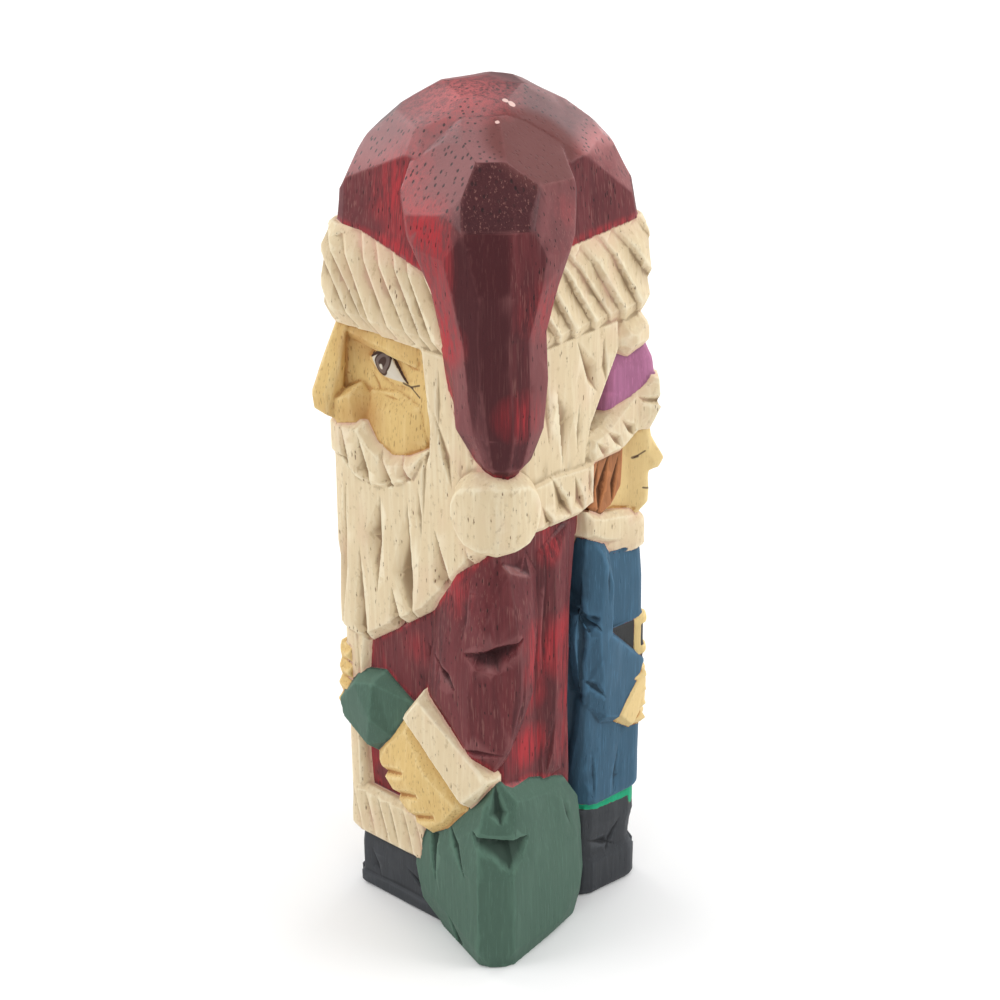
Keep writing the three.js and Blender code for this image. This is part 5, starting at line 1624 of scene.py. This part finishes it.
class FIGURINE_OT_cast(bpy.types.Operator):
    """Join the rough forms into one piece, carve it and paint it"""

    bl_idname = "figurine.cast"
    bl_label = "Join, Carve and Paint"
    bl_options = {"REGISTER", "UNDO"}

    def execute(self, context):
        sizes = context.scene.figurine_sizes
        forms = list(bpy.data.collections[FORMS].objects)
        if not forms:
            raise RuntimeError("there are no rough forms to join")
        deselect()
        copies = [copy_of(form) for form in forms]
        for one in copies:
            one.select_set(True)
        context.view_layer.objects.active = copies[0]
        bpy.ops.object.join()
        body = context.object
        body.name = body.data.name = PIECE
        skin = body.modifiers.new("even skin", "REMESH")
        skin.mode = "VOXEL"
        skin.voxel_size = sizes.skin * 1.0
        apply_modifier(body, skin)
        if not body.data.polygons:
            raise RuntimeError("the skin over the rough forms is empty")
        carve(body, forms, sizes.depth)
        thin = body.modifiers.new("fewer faces", "DECIMATE")
        thin.ratio = min(1.0, sizes.faces / (2 * len(body.data.polygons)))
        thin.use_collapse_triangulate = True
        apply_modifier(body, thin)
        points = read_points(body.data)
        points[:, 2] = np.where(points[:, 2] < 0.12, 0, points[:, 2])
        low, high = (np.array(corner) / MM for corner in CAD_BOX)
        write_points(body.data, np.clip(points, low, high))
        mark_paints(body, forms)
        for form in forms:
            bpy.data.objects.remove(form)
        bpy.data.collections.remove(bpy.data.collections[FORMS])
        edit(body, lambda: bpy.ops.mesh.faces_shade_smooth())
        body.data.materials.clear()
        body.data.materials.append(figurine_paint(context.scene.figurine_colours))
        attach(body, "root")
        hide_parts("santa_figurine")
        return {"FINISHED"}


# Each light's name, place and power, and how wide it is.
LIGHTS = [
    ("left light", (0.2, -1.2, 0.75), 5.8, 0.8),
    ("right light", (0.2, 1.2, 0.75), 7.2, 0.8),
    ("left back light", (-0.95, -0.85, 0.6), 5, 0.9),
    ("right back light", (-0.95, 0.85, 0.6), 5, 0.9),
]
SKY_LIGHT = 2.05  # strength of the wide soft light from above


class FIGURINE_OT_stage(bpy.types.Operator):
    """Set up the floor, the lights and the camera"""

    bl_idname = "figurine.stage"
    bl_label = "Stage"
    bl_options = {"REGISTER", "UNDO"}

    def execute(self, context):
        stage = context.scene.figurine_stage
        target = Vector((0, 0.0031, 0.1294))
        turn, lift = math.radians(stage.azimuth), math.radians(stage.elevation)
        back = Vector((math.sin(turn) * math.cos(lift), -math.cos(turn) * math.cos(lift), math.sin(lift)))
        deselect()
        bpy.ops.object.camera_add(location=target + back * stage.distance)
        camera = context.object
        roll = Quaternion((0, 0, 1), -math.radians(stage.roll))
        camera.rotation_euler = (back.to_track_quat("Z", "Y") @ roll).to_euler()
        camera.data.lens = stage.lens
        camera.data.sensor_width = 36
        camera.data.dof.use_dof = False
        context.scene.camera = camera
        context.scene.view_settings.view_transform = "Standard"
        deselect()
        bpy.ops.mesh.primitive_plane_add(size=40)
        floor = context.object
        floor.name = "floor"
        s = Shader("pale floor")
        matt = s.node("ShaderNodeBsdfPrincipled", {}, {"Base Color": (*stage.floor, 1), "Roughness": 0.8})
        s.node("ShaderNodeOutputMaterial", {}, {"Surface": matt.wire("BSDF")})
        floor.data.materials.append(s.material)
        for name, spot, power, size in LIGHTS:
            deselect()
            bpy.ops.object.light_add(type="AREA", location=spot)
            light = context.object
            light.name = name
            light.data.energy = power
            light.data.size = size
            light.rotation_euler = (Vector(spot) - target).to_track_quat("Z", "Y").to_euler()
        deselect()
        bpy.ops.object.light_add(type="SUN", location=(0, 0, 2))
        above = context.object
        above.name = "light from above"
        above.data.energy = SKY_LIGHT
        above.data.angle = math.radians(110)
        world = bpy.data.worlds.new("white room")
        context.scene.world = world
        world.use_nodes = True
        sky = world.node_tree.nodes["Background"]
        sky.inputs["Color"].default_value = (1, 1, 1, 1)
        sky.inputs["Strength"].default_value = 0.25
        return {"FINISHED"}


class FIGURINE_PT_panel(bpy.types.Panel):
    """Sidebar panel of the figurine"""

    bl_label = "Figurine"
    bl_idname = "FIGURINE_PT_panel"
    bl_space_type = "VIEW_3D"
    bl_region_type = "UI"
    bl_category = "Figurine"

    def draw(self, context):
        scene = context.scene
        for settings in (scene.figurine_sizes, scene.figurine_colours, scene.figurine_stage):
            box = self.layout.box()
            for name in settings.__annotations__:
                box.prop(settings, name)
        for operator in OPERATORS:
            self.layout.operator(operator.bl_idname)


SETTINGS = {
    "figurine_sizes": FigurineSizes,
    "figurine_colours": FigurineColours,
    "figurine_stage": FigurineStage,
}
OPERATORS = (
    FIGURINE_OT_coat,
    FIGURINE_OT_head,
    FIGURINE_OT_cap,
    FIGURINE_OT_arms,
    FIGURINE_OT_sack,
    FIGURINE_OT_child,
    FIGURINE_OT_cast,
    FIGURINE_OT_stage,
)
CLASSES = (*SETTINGS.values(), *OPERATORS, FIGURINE_PT_panel)


def register():
    for one in CLASSES:
        bpy.utils.register_class(one)
    for name, group in SETTINGS.items():
        setattr(bpy.types.Scene, name, PointerProperty(type=group))


def unregister():
    for name in SETTINGS:
        delattr(bpy.types.Scene, name)
    for one in reversed(CLASSES):
        bpy.utils.unregister_class(one)


def main():
    """Builds the whole scene."""
    register()
    for operator in OPERATORS:
        group, name = operator.bl_idname.split(".")
        getattr(getattr(bpy.ops, group), name)()


if __name__ == "__main__":
    main()
